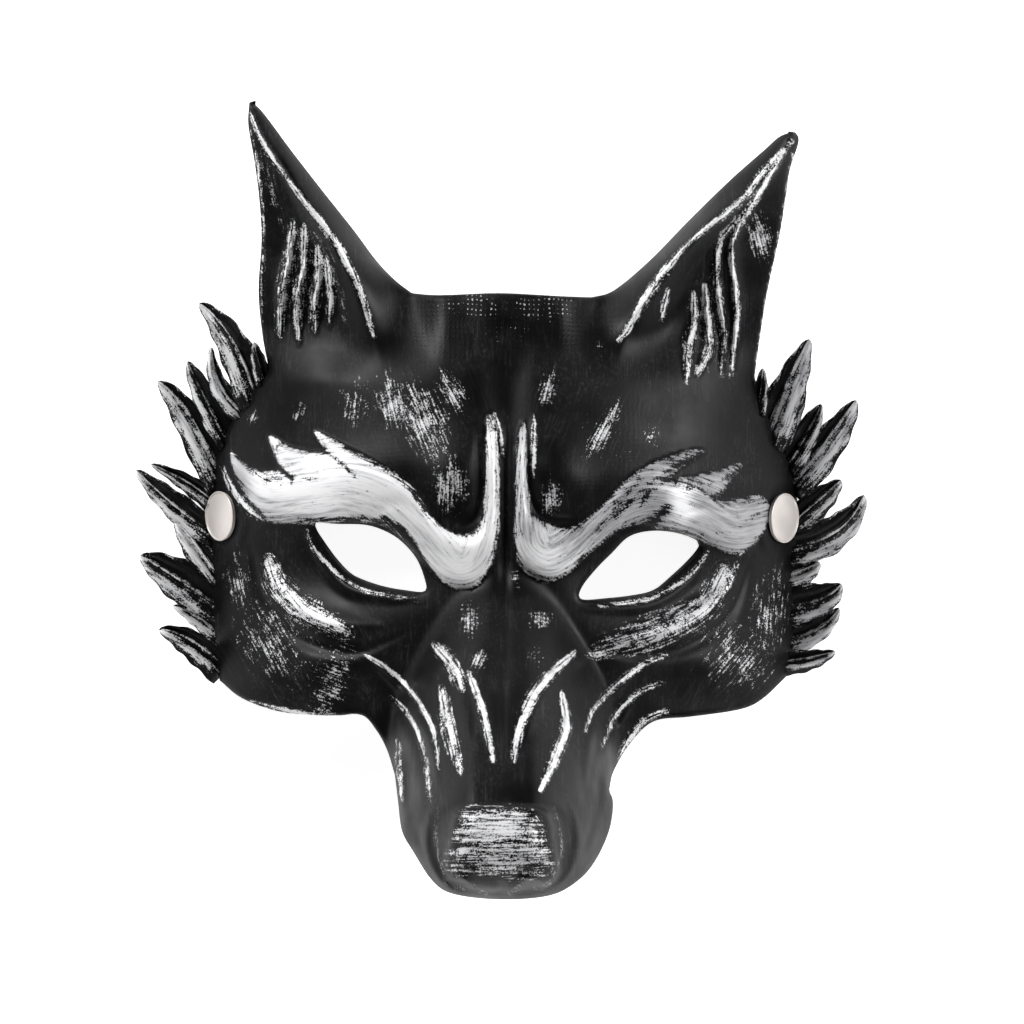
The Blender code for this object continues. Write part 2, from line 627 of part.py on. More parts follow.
def lock_mesh(row, all_locks):
    """Adds one fur lock, a flat leaf that is thick along its middle, to a mesh of locks."""
    steps = LOCK_STATIONS - 1
    start, bend, tip = (np.array(row[key], float) for key in ("root", "bend", "tip"))
    shares, widths = np.array(LOCK_OUTLINE).T
    root_x, root_y = place(*start)
    root_z = float(form_height(root_x, root_y)) - LOCK_ROOT / 2
    root_z = max(root_z, floor_height() + LOCK_THICKNESS)
    rings = []
    for station in range(LOCK_STATIONS):
        t = station / steps
        middle = (1 - t) ** 2 * start + 2 * t * (1 - t) * (2 * bend - (start + tip) / 2) + t * t * tip
        ahead = 2 * (1 - t) * (2 * bend - (start + tip) / 2 - start) + 2 * t * (tip - 2 * bend + (start + tip) / 2)
        side = np.array([-ahead[1], ahead[0]]) / max(np.hypot(*ahead), 1e-9)
        half = row["half"] * np.interp(t, shares, widths)
        thick = LOCK_THICKNESS / 2 * (1 - 0.65 * t)
        z = root_z + row["lift"] * t
        ring = []
        for across_share, up in ((-1, 0), (-0.45, 1), (0.45, 1), (1, 0), (0, -0.8)):
            x, y = place(*(middle + side * half * across_share))
            ring.append(all_locks.verts.new((float(x), float(y), z + thick * up)))
        rings.append(ring)
    for ring, after in zip(rings, rings[1:]):
        for i, vert in enumerate(ring):
            j = (i + 1) % len(ring)
            all_locks.faces.new((vert, ring[j], after[j], after[i]))
    all_locks.faces.new(rings[0])
    all_locks.faces.new(rings[-1])


def lock_cutters(into):
    """Each fur lock as a closed leaf, ready to be joined to the moulding."""
    made = []
    for row in LOCKS:
        work = bmesh.new()
        lock_mesh(row, work)
        bmesh.ops.recalc_face_normals(work, faces=work.faces)
        mesh = bpy.data.meshes.new("lock_" + row["name"])
        work.to_mesh(mesh)
        work.free()
        made.append(cutter("lock_" + row["name"], mesh, into))
    return made


def place_on_axis(obj, side):
    """Stands a turned piece on a snap's seat, its local Z out of the face."""
    middle, out = SNAP_FRAMES[side]
    obj.location = middle
    obj.rotation_mode = "QUATERNION"
    obj.rotation_quaternion = out.to_track_quat("Z", "Y")


def turned_object(name, profile, into, finish=None, segments=24):
    """A turned piece from its outer profile, given top to bottom as radius and height."""
    mesh = bpy.data.meshes.new(name)
    closed = profile[0][0] > 0
    edges = [(i, i + 1) for i in range(len(profile) - 1)] + ([(len(profile) - 1, 0)] if closed else [])
    mesh.from_pydata([(radius, 0, height) for radius, height in profile], edges, [])
    made = add_object(name, mesh, into, finish)
    turn = made.modifiers.new("Turn", "SCREW")
    turn.steps = turn.render_steps = segments
    turn.use_merge_vertices = True
    turn.merge_threshold = 0.00005
    turn.use_normal_calculate = False
    return made


def snap_cap(side, into, finish):
    """The snap's front: a dished disc with a rolled lip, in one piece with its shank."""
    radius, shank = CAP_DIAMETER / 2, SHANK_DIAMETER / 2
    top = CLEARANCE + CAP_THICKNESS
    profile = [
        (0, top - CAP_LIP),
        (radius - CAP_LIP_WIDTH - CAP_LIP, top - CAP_LIP),
        (radius - CAP_LIP_WIDTH, top),
        (radius - CAP_LIP, top),
        (radius, top - CAP_LIP),
        (radius, CLEARANCE + CAP_LIP),
        (radius - CAP_LIP, CLEARANCE),
        (shank, CLEARANCE),
        (shank, -WALL - SHANK_FREE_END),
        (0, -WALL - SHANK_FREE_END),
    ]
    cap = turned_object("snap_cap_" + side, profile, into, finish)
    place_on_axis(cap, side)
    return cap


def snap_stud(side, into, finish):
    """The snap's back: a flange against the inner face and the stud that a strap snaps onto."""
    bore = SHANK_DIAMETER / 2 + CLEARANCE
    face = -WALL - CLEARANCE
    flange = face - STUD_FLANGE_THICKNESS
    end = flange - STUD_HEIGHT
    waist = (flange + end) / 2
    profile = [
        (bore, face),
        (STUD_FLANGE_DIAMETER / 2, face),
        (STUD_FLANGE_DIAMETER / 2, flange),
        (STUD_NECK_DIAMETER / 2, flange),
        (STUD_NECK_DIAMETER / 2, waist),
        (STUD_DIAMETER / 2, (waist + end) / 2),
        (STUD_NECK_DIAMETER / 2, end),
        (bore, end),
    ]
    stud = turned_object("snap_stud_" + side, profile, into, finish)
    place_on_axis(stud, side)
    return stud


def snap_room(side, into):
    """The hole through the moulding for a snap's shank, and the room that the fur leaves round its cap."""
    bore = SHANK_DIAMETER / 2 + CLEARANCE
    room = CAP_DIAMETER / 2 + CLEARANCE
    seat = CLEARANCE / 2
    profile = [(0, WALL * 4), (room, WALL * 4), (room, seat), (bore, seat), (bore, -WALL * 4), (0, -WALL * 4)]
    made = turned_object("snap_room_" + side, profile, into)
    made.hide_render = True
    made.display_type = "WIRE"
    place_on_axis(made, side)
    return made


def floor_block(into):
    """The space under the back rim, which trims the rim flat."""
    size = 3 * max(FACE_WIDTH, FACE_HEIGHT)
    work = bmesh.new()
    bmesh.ops.create_cube(work, size=size)
    bmesh.ops.translate(work, verts=work.verts, vec=(0, 0, floor_height() - size / 2))
    mesh = bpy.data.meshes.new("floor_block")
    work.to_mesh(mesh)
    work.free()
    return cutter("floor_block", mesh, into)


def mask_shell(parts, helpers, finish):
    """The moulding: face, muzzle, ears and fur locks in one piece, hollow behind."""
    shell = add_object("mask_shell", moulded_slab(helpers), parts, finish)
    thin = shell.modifiers.new("Thin", "DECIMATE")
    thin.ratio = KEPT_FACES
    add_boolean(shell, "INTERSECT", outline_prism(helpers))
    for lock in lock_cutters(helpers):
        add_boolean(shell, "UNION", lock)
    add_boolean(shell, "DIFFERENCE", floor_block(helpers))
    for side in SNAPS:
        add_boolean(shell, "DIFFERENCE", snap_room(side, helpers))
    return shell


def stand_on_origin(pieces, into):
    """Carries everything on an empty that puts the middle of the pieces' box over the origin, on z = 0."""
    graph = bpy.context.evaluated_depsgraph_get()
    points = []
    for piece in pieces:
        shown = piece.evaluated_get(graph)
        mesh = shown.to_mesh()
        points.extend(shown.matrix_world @ vert.co for vert in mesh.vertices)
        shown.to_mesh_clear()
    spans = [(min(values), max(values)) for values in zip(*points)]
    holder = bpy.data.objects.new("mask_origin", None)
    into.objects.link(holder)
    for obj in bpy.data.objects:
        if obj != holder:
            obj.parent = holder
    holder.location = (-sum(spans[0]) / 2, -sum(spans[1]) / 2, -spans[2][0])


def build():
    """The whole mask."""
    for obj in list(bpy.data.objects):
        bpy.data.objects.remove(obj)
    parts = collection("wolf_mask")
    helpers = collection("cutters", shown=False)
    rubber = material("black_moulding", (0.020, 0.020, 0.022), 0.42, 0.0)
    steel = material("snap_steel", (0.78, 0.74, 0.71), 0.30, 1.0)
    pieces = [mask_shell(parts, helpers, rubber)]
    for side in SNAPS:
        pieces.append(snap_cap(side, parts, steel))
        pieces.append(snap_stud(side, parts, steel))
    bpy.context.view_layer.update()
    stand_on_origin(pieces, parts)


build()
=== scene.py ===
"""Looks of a moulded wolf half mask: satin black rubber, dry-brushed silver, a snap at each temple.

Positions on the mask are charted on its front view, where one unit is a share of the mask's named
sizes. Heights are measured from the brow and are shares of the named depths.
"""

from __future__ import annotations

import logging
import math
from dataclasses import dataclass, field
from enum import Enum

import bmesh
import bpy
import numpy as np
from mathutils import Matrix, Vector

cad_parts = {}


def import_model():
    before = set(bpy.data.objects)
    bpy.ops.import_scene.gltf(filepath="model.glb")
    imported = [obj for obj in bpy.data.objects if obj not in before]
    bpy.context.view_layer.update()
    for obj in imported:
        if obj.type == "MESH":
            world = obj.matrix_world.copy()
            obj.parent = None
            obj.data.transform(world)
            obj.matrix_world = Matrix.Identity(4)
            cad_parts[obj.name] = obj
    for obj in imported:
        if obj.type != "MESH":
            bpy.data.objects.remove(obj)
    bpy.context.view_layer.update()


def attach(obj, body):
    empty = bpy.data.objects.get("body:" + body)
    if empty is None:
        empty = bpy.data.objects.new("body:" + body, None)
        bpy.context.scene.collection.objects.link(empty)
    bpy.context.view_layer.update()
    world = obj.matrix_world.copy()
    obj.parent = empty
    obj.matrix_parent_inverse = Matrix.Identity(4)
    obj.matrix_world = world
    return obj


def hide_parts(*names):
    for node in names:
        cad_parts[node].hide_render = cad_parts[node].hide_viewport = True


LOG = logging.getLogger("wolf_mask")
RUBBER_EDGE = math.radians(60)
METAL_EDGE = math.radians(50)
WHITE = (1, 1, 1, 1)
Point = tuple[float, float]
Triple = tuple[float, float, float]
Colour = tuple[float, float, float, float]
Socket = bpy.types.NodeSocket


class Side(Enum):
    """The wearer's sides as the front view shows them."""

    LEFT = "left"
    RIGHT = "right"

    @property
    def sign(self) -> int:
        """Direction of this side along X."""
        return -1 if self is Side.LEFT else 1


class Brush(Enum):
    """How a touch of silver lies on the rubber."""

    LOADED = 0.76
    DRY = 0.57
    GHOST = 0.38
    DUST = 0.14


def smooth_run(points: list[Point] | np.ndarray, steps: int = 6) -> np.ndarray:
    """Draws a smooth curve through points, its ends kept.

    Args:
        points: The points, in order.
        steps: Pieces between one point and the next.

    Returns:
        The curve's points.
    """
    through = np.array(points, float)
    padded = np.vstack([2 * through[0] - through[1], through, 2 * through[-1] - through[-2]])
    run = []
    for before, start, end, after in zip(padded, padded[1:], padded[2:], padded[3:]):
        for step in range(steps):
            t = step / steps
            bend = 2 * before - 5 * start + 4 * end - after
            twist = 3 * start - before - 3 * end + after
            run.append(0.5 * (2 * start + (end - before) * t + bend * t * t + twist * t**3))
    return np.array(run + [through[-1]])


def smooth_loop(points: list[Point], steps: int = 6) -> np.ndarray:
    """Draws a smooth closed curve through points.

    Args:
        points: The points, in order.
        steps: Pieces between one point and the next.

    Returns:
        The loop's points, with no point twice.
    """
    padded = list(points[-2:]) + list(points) + list(points[:3])
    return smooth_run(padded, steps)[2 * steps:(2 + len(points)) * steps]


def ease(t: np.ndarray | float) -> np.ndarray:
    """Rises smoothly from 0 to 1 as t does."""
    t = np.clip(t, 0, 1)
    return t * t * (3 - 2 * t)


def hill(distance: np.ndarray) -> np.ndarray:
    """A smooth hill, 1 at distance 0 and near 0 past distance 1.5."""
    return np.exp(-distance * distance)


def smooth_max(a: np.ndarray, b: np.ndarray, blend: float) -> np.ndarray:
    """The higher of two surfaces.

    Args:
        a: One surface's heights.
        b: The other's.
        blend: Height over which their crossing is rounded.

    Returns:
        The joined heights.
    """
    gap = np.clip((blend - np.abs(a - b)) / blend, 0, 1)
    return np.maximum(a, b) + gap * gap * blend / 4


def inside_loop(across: np.ndarray, down: np.ndarray, loop: np.ndarray) -> np.ndarray:
    """Tells which points are inside a closed loop.

    Args:
        across: First coordinate of the points.
        down: Second coordinate.
        loop: The loop's points.

    Returns:
        True where a point is inside.
    """
    inside = np.zeros(across.shape, bool)
    for (x0, y0), (x1, y1) in zip(loop, np.roll(loop, -1, axis=0)):
        crosses = (y0 > down) != (y1 > down)
        rise = y1 - y0 if y1 != y0 else 1e-9
        inside ^= crosses & (across < (x1 - x0) * (down - y0) / rise + x0)
    return inside


@dataclass
class Nearest:
    """How points lie to a run: how far off, which side, how far along, and the nearest place on it."""

    far: np.ndarray
    offset: np.ndarray
    along: np.ndarray
    share: np.ndarray
    place: np.ndarray


def nearest_on_run(across: np.ndarray, down: np.ndarray, run: np.ndarray) -> Nearest:
    """Finds the nearest place on a run of points for many points.

    Args:
        across: First coordinate of the points.
        down: Second coordinate.
        run: The run's points.

    Returns:
        The distances, signed offsets, lengths along, shares along and nearest places.
    """
    best = np.full(across.shape, 1e9)
    offset, along, share = (np.zeros(across.shape) for _ in range(3))
    place = np.zeros(across.shape + (2,))
    lengths = np.hypot(*np.diff(run, axis=0).T)
    starts = np.concatenate([[0], np.cumsum(lengths)])
    for i, (start, end) in enumerate(zip(run, run[1:])):
        step = end - start
        t = ((across - start[0]) * step[0] + (down - start[1]) * step[1]) / max(step @ step, 1e-12)
        t = np.clip(t, 0, 1)
        dx, dy = across - start[0] - t * step[0], down - start[1] - t * step[1]
        far = np.hypot(dx, dy)
        nearer = far < best
        best = np.where(nearer, far, best)
        offset = np.where(nearer, far * np.sign(step[0] * dy - step[1] * dx), offset)
        along = np.where(nearer, starts[i] + t * lengths[i], along)
        share = np.where(nearer, (starts[i] + t * lengths[i]) / starts[-1], share)
        place[..., 0] = np.where(nearer, start[0] + t * step[0], place[..., 0])
        place[..., 1] = np.where(nearer, start[1] + t * step[1], place[..., 1])
    return Nearest(best, offset, along, share, place)


def nearest_on_loop(across: np.ndarray, down: np.ndarray, loop: np.ndarray) -> Nearest:
    """Finds the nearest place on a closed loop, in the way of nearest_on_run."""
    return nearest_on_run(across, down, np.vstack([loop, loop[:1]]))


@dataclass(frozen=True)
class Chart:
    """The front view's chart, and where it stands in the room."""

    face_width: float = 0.1785
    face_height: float = 0.1809
    ear_height: float = 0.0579
    middle: float = 503
    wide: float = 595
    edge: float = 295
    lip: float = 898
    ear_tip: float = 102
    stand: Triple = (0.000806, -0.02895, 0.0535)

    @property
    def unit(self) -> float:
        """Size of one chart unit across."""
        return self.face_width / self.wide

    @property
    def units_down(self) -> tuple[float, float]:
        """Size of one chart unit down, above and below the forehead's edge."""
        return self.ear_height / (self.edge - self.ear_tip), self.face_height / (self.lip - self.edge)

    def place(self, across: np.ndarray | float, down: np.ndarray | float) -> tuple[np.ndarray, np.ndarray]:
        """Gives the X and Y of chart points.

        Args:
            across: Units from the chart's left.
            down: Units from the chart's top.

        Returns:
            X and Y in metres.
        """
        across, down = np.asarray(across, float), np.asarray(down, float)
        above, below = self.units_down
        x = (across - self.middle) * self.unit + self.stand[0]
        y = self.face_height / 2 + (self.edge - down) * np.where(down < self.edge, above, below)
        return x, y + self.stand[1]

    def find(self, x: np.ndarray, y: np.ndarray) -> np.ndarray:
        """Gives the chart points of places in the room.

        Args:
            x: The places' X in metres.
            y: Their Y.

        Returns:
            Rows of units from the chart's left and from its top.
        """
        above, below = self.units_down
        lift = y - self.stand[1] - self.face_height / 2
        down = self.edge - lift / np.where(lift > 0, above, below)
        return np.stack([(x - self.stand[0]) / self.unit + self.middle, down], axis=1)


@dataclass(frozen=True)
class FaceSection:
    """A level of the face: how far its middle and its temples lie back, as shares of the temple's drop."""

    down: float
    middle: float
    side: float


@dataclass(frozen=True)
class MuzzleSection:
    """A level of the muzzle: ridge and flank as shares of the reach, half widths in chart units."""

    down: float
    ridge: float
    flank: float
    top: float
    lip: float


@dataclass(frozen=True)
class EarSection:
    """A level of an ear: its edges and crest in chart units, the crest's height as a share of the drop."""

    down: float
    outer: float
    crest: float
    inner: float
    height: float


def read_sections(rows: list, column: str, down: np.ndarray) -> np.ndarray:
    """Reads a column of a section list at any level, smooth between its rows.

    Args:
        rows: The sections, from the top down.
        column: Name of the field to read.
        down: Levels to read at.

    Returns:
        The values at these levels.
    """
    downs = np.array([row.down for row in rows], float)
    values = np.array([getattr(row, column) for row in rows], float)
    slopes = np.gradient(values, downs)
    down = np.clip(down, downs[0], downs[-1])
    i = np.clip(np.searchsorted(downs, down) - 1, 0, len(rows) - 2)
    span = downs[i + 1] - downs[i]
    t = (down - downs[i]) / span
    ends = values[i] * (1 + 2 * t) * (1 - t) ** 2 + values[i + 1] * t * t * (3 - 2 * t)
    return ends + span * (slopes[i] * t * (1 - t) ** 2 - slopes[i + 1] * t * t * (1 - t))


@dataclass(frozen=True)
class Mound:
    """A broad swelling (a positive rise) or hollow, a tilted oval in chart units."""

    across: float
    down: float
    wide: float
    high: float
    tilt: float
    rise: float

    def spread(self, across: np.ndarray, down: np.ndarray) -> np.ndarray:
        """How much of the mound is at chart points, from 0 to 1."""
        tilt = math.radians(self.tilt)
        dx, dy = across - self.across, down - self.down
        u = (dx * math.cos(tilt) - dy * math.sin(tilt)) / self.wide
        v = (dx * math.sin(tilt) + dy * math.cos(tilt)) / self.high
        return np.exp(-1.4 * (u * u + v * v))


@dataclass(frozen=True)
class Fold:
    """A fold that stands up (a positive rise) or is pressed in, along a path in chart units."""

    path: list[Point]
    half: float
    rise: float
    ends: float = 0.12


@dataclass
class Outline:
    """The edge of the moulding and of its eye holes, in chart units."""

    edge: list[list[Point]] = field(default_factory=lambda: [
        [(249, 102), (261, 110), (291, 150), (322, 190), (353, 229), (376, 260), (395, 280), (412, 293)],
        [(412, 293), (440, 295), (500, 293), (560, 296), (592, 297)],
        [(592, 297), (614, 290), (650, 260), (689, 220), (730, 180), (764, 150), (780, 136), (795, 131)],
        [(795, 131), (799, 141), (790, 170), (786, 200), (779, 240), (768, 290), (760, 340), (755, 376)],
        [
            (755, 376), (763, 405), (779, 438), (791, 470), (799, 505), (801, 540), (799, 580), (797, 620),
            (793, 655), (787, 677),
        ],
        [(787, 677), (762, 700), (739, 710), (690, 717), (655, 721), (633, 740), (614, 770), (609, 790)],
        [
            (609, 790), (613, 803), (609, 830), (595, 860), (577, 880), (550, 894), (503, 898), (455, 893),
            (433, 880), (413, 850), (402, 830), (398, 800), (395, 775),
        ],
        [(395, 775), (387, 750), (376, 730), (361, 715), (330, 716), (280, 712), (242, 699), (219, 681)],
        [
            (219, 681), (213, 655), (209, 620), (206, 580), (204, 540), (205, 505), (212, 468), (224, 436),
            (242, 402), (269, 372),
        ],
        [(269, 372), (262, 335), (258, 290), (261, 240), (259, 200), (254, 160), (248, 125), (249, 102)],
    ])
    eyes: dict[Side, list[Point]] = field(default_factory=lambda: {
        Side.LEFT: [
            (425, 591), (424, 577), (416, 558), (402, 542), (387, 532), (366, 525), (337, 524), (313, 523),
            (313, 531), (321, 543), (333, 558), (347, 571), (362, 579), (383, 586), (405, 590),
        ],
        Side.RIGHT: [
            (581, 599), (582, 587), (597, 568), (612, 553), (627, 538), (643, 532), (663, 531), (684, 535),
            (701, 543), (701, 550), (689, 563), (673, 576), (653, 590), (633, 595), (607, 598),
        ],
    })

    def loops(self) -> list[np.ndarray]:
        """The whole edge, then each eye hole, as closed runs in chart units."""
        points: list[np.ndarray] = []
        for stretch in self.edge:
            points.extend(smooth_run(stretch, 5)[:-1])
        return [np.array(points)] + [smooth_loop(eye, 5) for eye in self.eyes.values()]


@dataclass
class WolfForm:
    """The mask's main form: a face from temple to temple, a muzzle and two ears."""

    chart: Chart
    temple_drop: float = 0.0527
    snout_reach: float = 0.0620
    face_roundness: float = 0.875
    muzzle_blend: float = 0.0060
    muzzle_curve: float = 1.7
    socket_depth: float = 0.0060
    sockets: tuple[Mound, ...] = (Mound(369, 565, 78, 44, 0, 1), Mound(641, 573, 78, 44, 0, 1))
    swelling: float = 0.0034
    ear_flank: float = 0.0130
    ear_flank_curve: float = 1.5
    ear_cup: float = 0.0070
    ear_cup_share: float = 0.34
    ear_edge_fall: float = 0.0150
    ear_full_width: float = 110
    ear_blend: tuple[float, float] = (385, 300)
    ear_roots: tuple[float, float] = (448, 557)
    ear_root_width: float = 80
    seat_radius: float = 0.0095
    seat_blend: float = 0.0050
    snaps: dict[Side, Point] = field(default_factory=lambda: {Side.LEFT: (222, 516), Side.RIGHT: (782, 518)})
    face: list[FaceSection] = field(default_factory=lambda: [
        FaceSection(100, -0.30, 0.60),
        FaceSection(295, -0.22, 0.76),
        FaceSection(400, -0.05, 0.94),
        FaceSection(500, 0.00, 1.00),
        FaceSection(600, -0.02, 0.98),
        FaceSection(715, -0.10, 0.80),
        FaceSection(900, -0.16, 0.70),
    ])
    muzzle: list[MuzzleSection] = field(default_factory=lambda: [
        MuzzleSection(545, -0.16, 0.10, 8, 40),
        MuzzleSection(600, 0.08, 0.30, 20, 66),
        MuzzleSection(650, 0.32, 0.56, 34, 92),
        MuzzleSection(700, 0.55, 0.76, 42, 108),
        MuzzleSection(750, 0.76, 0.88, 47, 112),
        MuzzleSection(800, 0.94, 0.84, 52, 110),
        MuzzleSection(845, 1.00, 0.78, 55, 104),
        MuzzleSection(872, 0.95, 0.68, 52, 98),
        MuzzleSection(890, 0.80, 0.52, 46, 92),
        MuzzleSection(905, 0.58, 0.40, 40, 88),
    ])
    ears: dict[Side, list[EarSection]] = field(default_factory=lambda: {
        Side.LEFT: [
            EarSection(100, 246, 249, 252, -0.30),
            EarSection(130, 249, 262, 276, -0.26),
            EarSection(170, 255, 288, 306, -0.23),
            EarSection(210, 260, 313, 338, -0.22),
            EarSection(250, 261, 337, 367, -0.22),
            EarSection(290, 258, 357, 406, -0.23),
            EarSection(330, 261, 371, 420, -0.24),
            EarSection(400, 266, 390, 430, -0.24),
        ],
        Side.RIGHT: [
            EarSection(100, 803, 799, 795, -0.32),
            EarSection(140, 799, 790, 776, -0.28),
            EarSection(180, 790, 762, 730, -0.24),
            EarSection(220, 783, 716, 689, -0.22),
            EarSection(260, 775, 676, 649, -0.22),
            EarSection(290, 768, 654, 614, -0.23),
            EarSection(330, 762, 628, 590, -0.24),
            EarSection(400, 756, 608, 575, -0.24),
        ],
    })
    mounds: list[Mound] = field(default_factory=lambda: [
        Mound(350, 478, 115, 42, 12, 0.9),
        Mound(660, 482, 115, 42, -12, 0.9),
        Mound(452, 478, 34, 52, -20, 1.0),
        Mound(560, 476, 34, 52, 20, 1.0),
        Mound(506, 380, 26, 110, 0, -0.8),
        Mound(300, 668, 62, 30, 15, 0.7),
        Mound(715, 662, 62, 34, -15, 0.7),
        Mound(424, 815, 20, 50, 0, 0.8),
        Mound(590, 815, 20, 50, 0, 0.8),
    ])

    def dome(self, across: np.ndarray, down: np.ndarray) -> np.ndarray:
        """Height of the face itself at chart points."""
        share = np.minimum(np.abs(across - self.chart.middle) / (self.chart.wide / 2), 1.04)
        whole = 1 - math.sqrt(1 - self.face_roundness**2)
        fall = (1 - np.sqrt(1 - (self.face_roundness * share) ** 2)) / whole
        middle = read_sections(self.face, "middle", down)
        return self.temple_drop * (middle - read_sections(self.face, "side", down) * fall)

    def snout(self, across: np.ndarray, down: np.ndarray) -> np.ndarray:
        """Height of the muzzle at chart points."""
        top = read_sections(self.muzzle, "top", down)
        lip = read_sections(self.muzzle, "lip", down)
        share = (np.abs(across - self.chart.middle) - 0.5 * top) / (lip - 0.5 * top)
        flank = read_sections(self.muzzle, "flank", down) * np.clip(share, 0, 3) ** self.muzzle_curve
        return self.snout_reach * (read_sections(self.muzzle, "ridge", down) - flank)

    def ear(self, across: np.ndarray, down: np.ndarray, side: Side) -> np.ndarray:
        """Height of one ear: a crest, a flank towards the forehead and a cup towards the outer edge.

        Args:
            across: Chart points' first coordinate.
            down: Their second.
            side: Which ear.

        Returns:
            The heights.
        """
        rows = self.ears[side]
        crest = read_sections(rows, "crest", down)
        outer = read_sections(rows, "outer", down)
        inner = read_sections(rows, "inner", down)
        flank = np.clip((across - crest) / (inner - crest), 0, 6)
        # Past the ear's inner edge the flank levels out, so that it meets the forehead softly.
        flank = np.where(flank < 1, flank, 1.2 - 0.2 * np.exp(-5 * (flank - 1)))
        cup = np.clip((across - crest) / (outer - crest), 0, 1.1)
        size = np.clip(np.abs(inner - outer) / self.ear_full_width, 0.12, 1.0)
        deep = ease(cup / self.ear_cup_share) * (1 - 0.35 * cup)
        fall = self.ear_flank * flank**self.ear_flank_curve + self.ear_cup * deep + self.ear_edge_fall * cup
        return self.temple_drop * read_sections(rows, "height", down) - size * fall

    def unseated(self, across: np.ndarray, down: np.ndarray) -> np.ndarray:
        """Height of the main form before the flat seats of the snaps."""
        height = self.dome(across, down)
        for socket in self.sockets:
            height = height - self.socket_depth * socket.spread(across, down)
        for mound in self.mounds:
            height = height + self.swelling * mound.rise * mound.spread(across, down)
        height = smooth_max(height, self.snout(across, down), self.muzzle_blend)
        start, end = self.ear_blend
        blend = ease((start - down) / (start - end))
        for side, edge in zip(Side, self.ear_roots):
            near = ease(side.sign * (across - edge) / self.ear_root_width)
            height = height + (self.ear(across, down, side) - height) * blend * near
        return height

    def seat(self, side: Side) -> tuple[Vector, Vector]:
        """Finds a snap's seat.

        Args:
            side: Which temple.

        Returns:
            The seat's middle in the room, and the direction out of the face there.
        """
        across, down = self.snaps[side]
        step = 1 / 3
        reach = 2 * step * self.chart.unit

        def lift(right: float, below: float) -> float:
            return float(self.unseated(np.array(across + right), np.array(down + below)))

        slope_x = (lift(step, 0) - lift(-step, 0)) / reach
        slope_y = (lift(0, -step) - lift(0, step)) / reach
        x, y = self.chart.place(across, down)
        middle = Vector((float(x), float(y), lift(0, 0) + self.chart.stand[2]))
        return middle, Vector((-slope_x, -slope_y, 1)).normalized()

    def height(self, across: np.ndarray, down: np.ndarray) -> np.ndarray:
        """Height above the floor of the main form at chart points, snap seats included."""
        height = self.unseated(across, down) + self.chart.stand[2]
        x, y = self.chart.place(across, down)
        for side in Side:
            middle, out = self.seat(side)
            plane = middle.z - ((x - middle.x) * out.x + (y - middle.y) * out.y) / out.z
            away = np.sqrt((x - middle.x) ** 2 + (y - middle.y) ** 2 + (plane - middle.z) ** 2)
            height = height + (plane - height) * (1 - ease((away - self.seat_radius) / self.seat_blend))
        return height


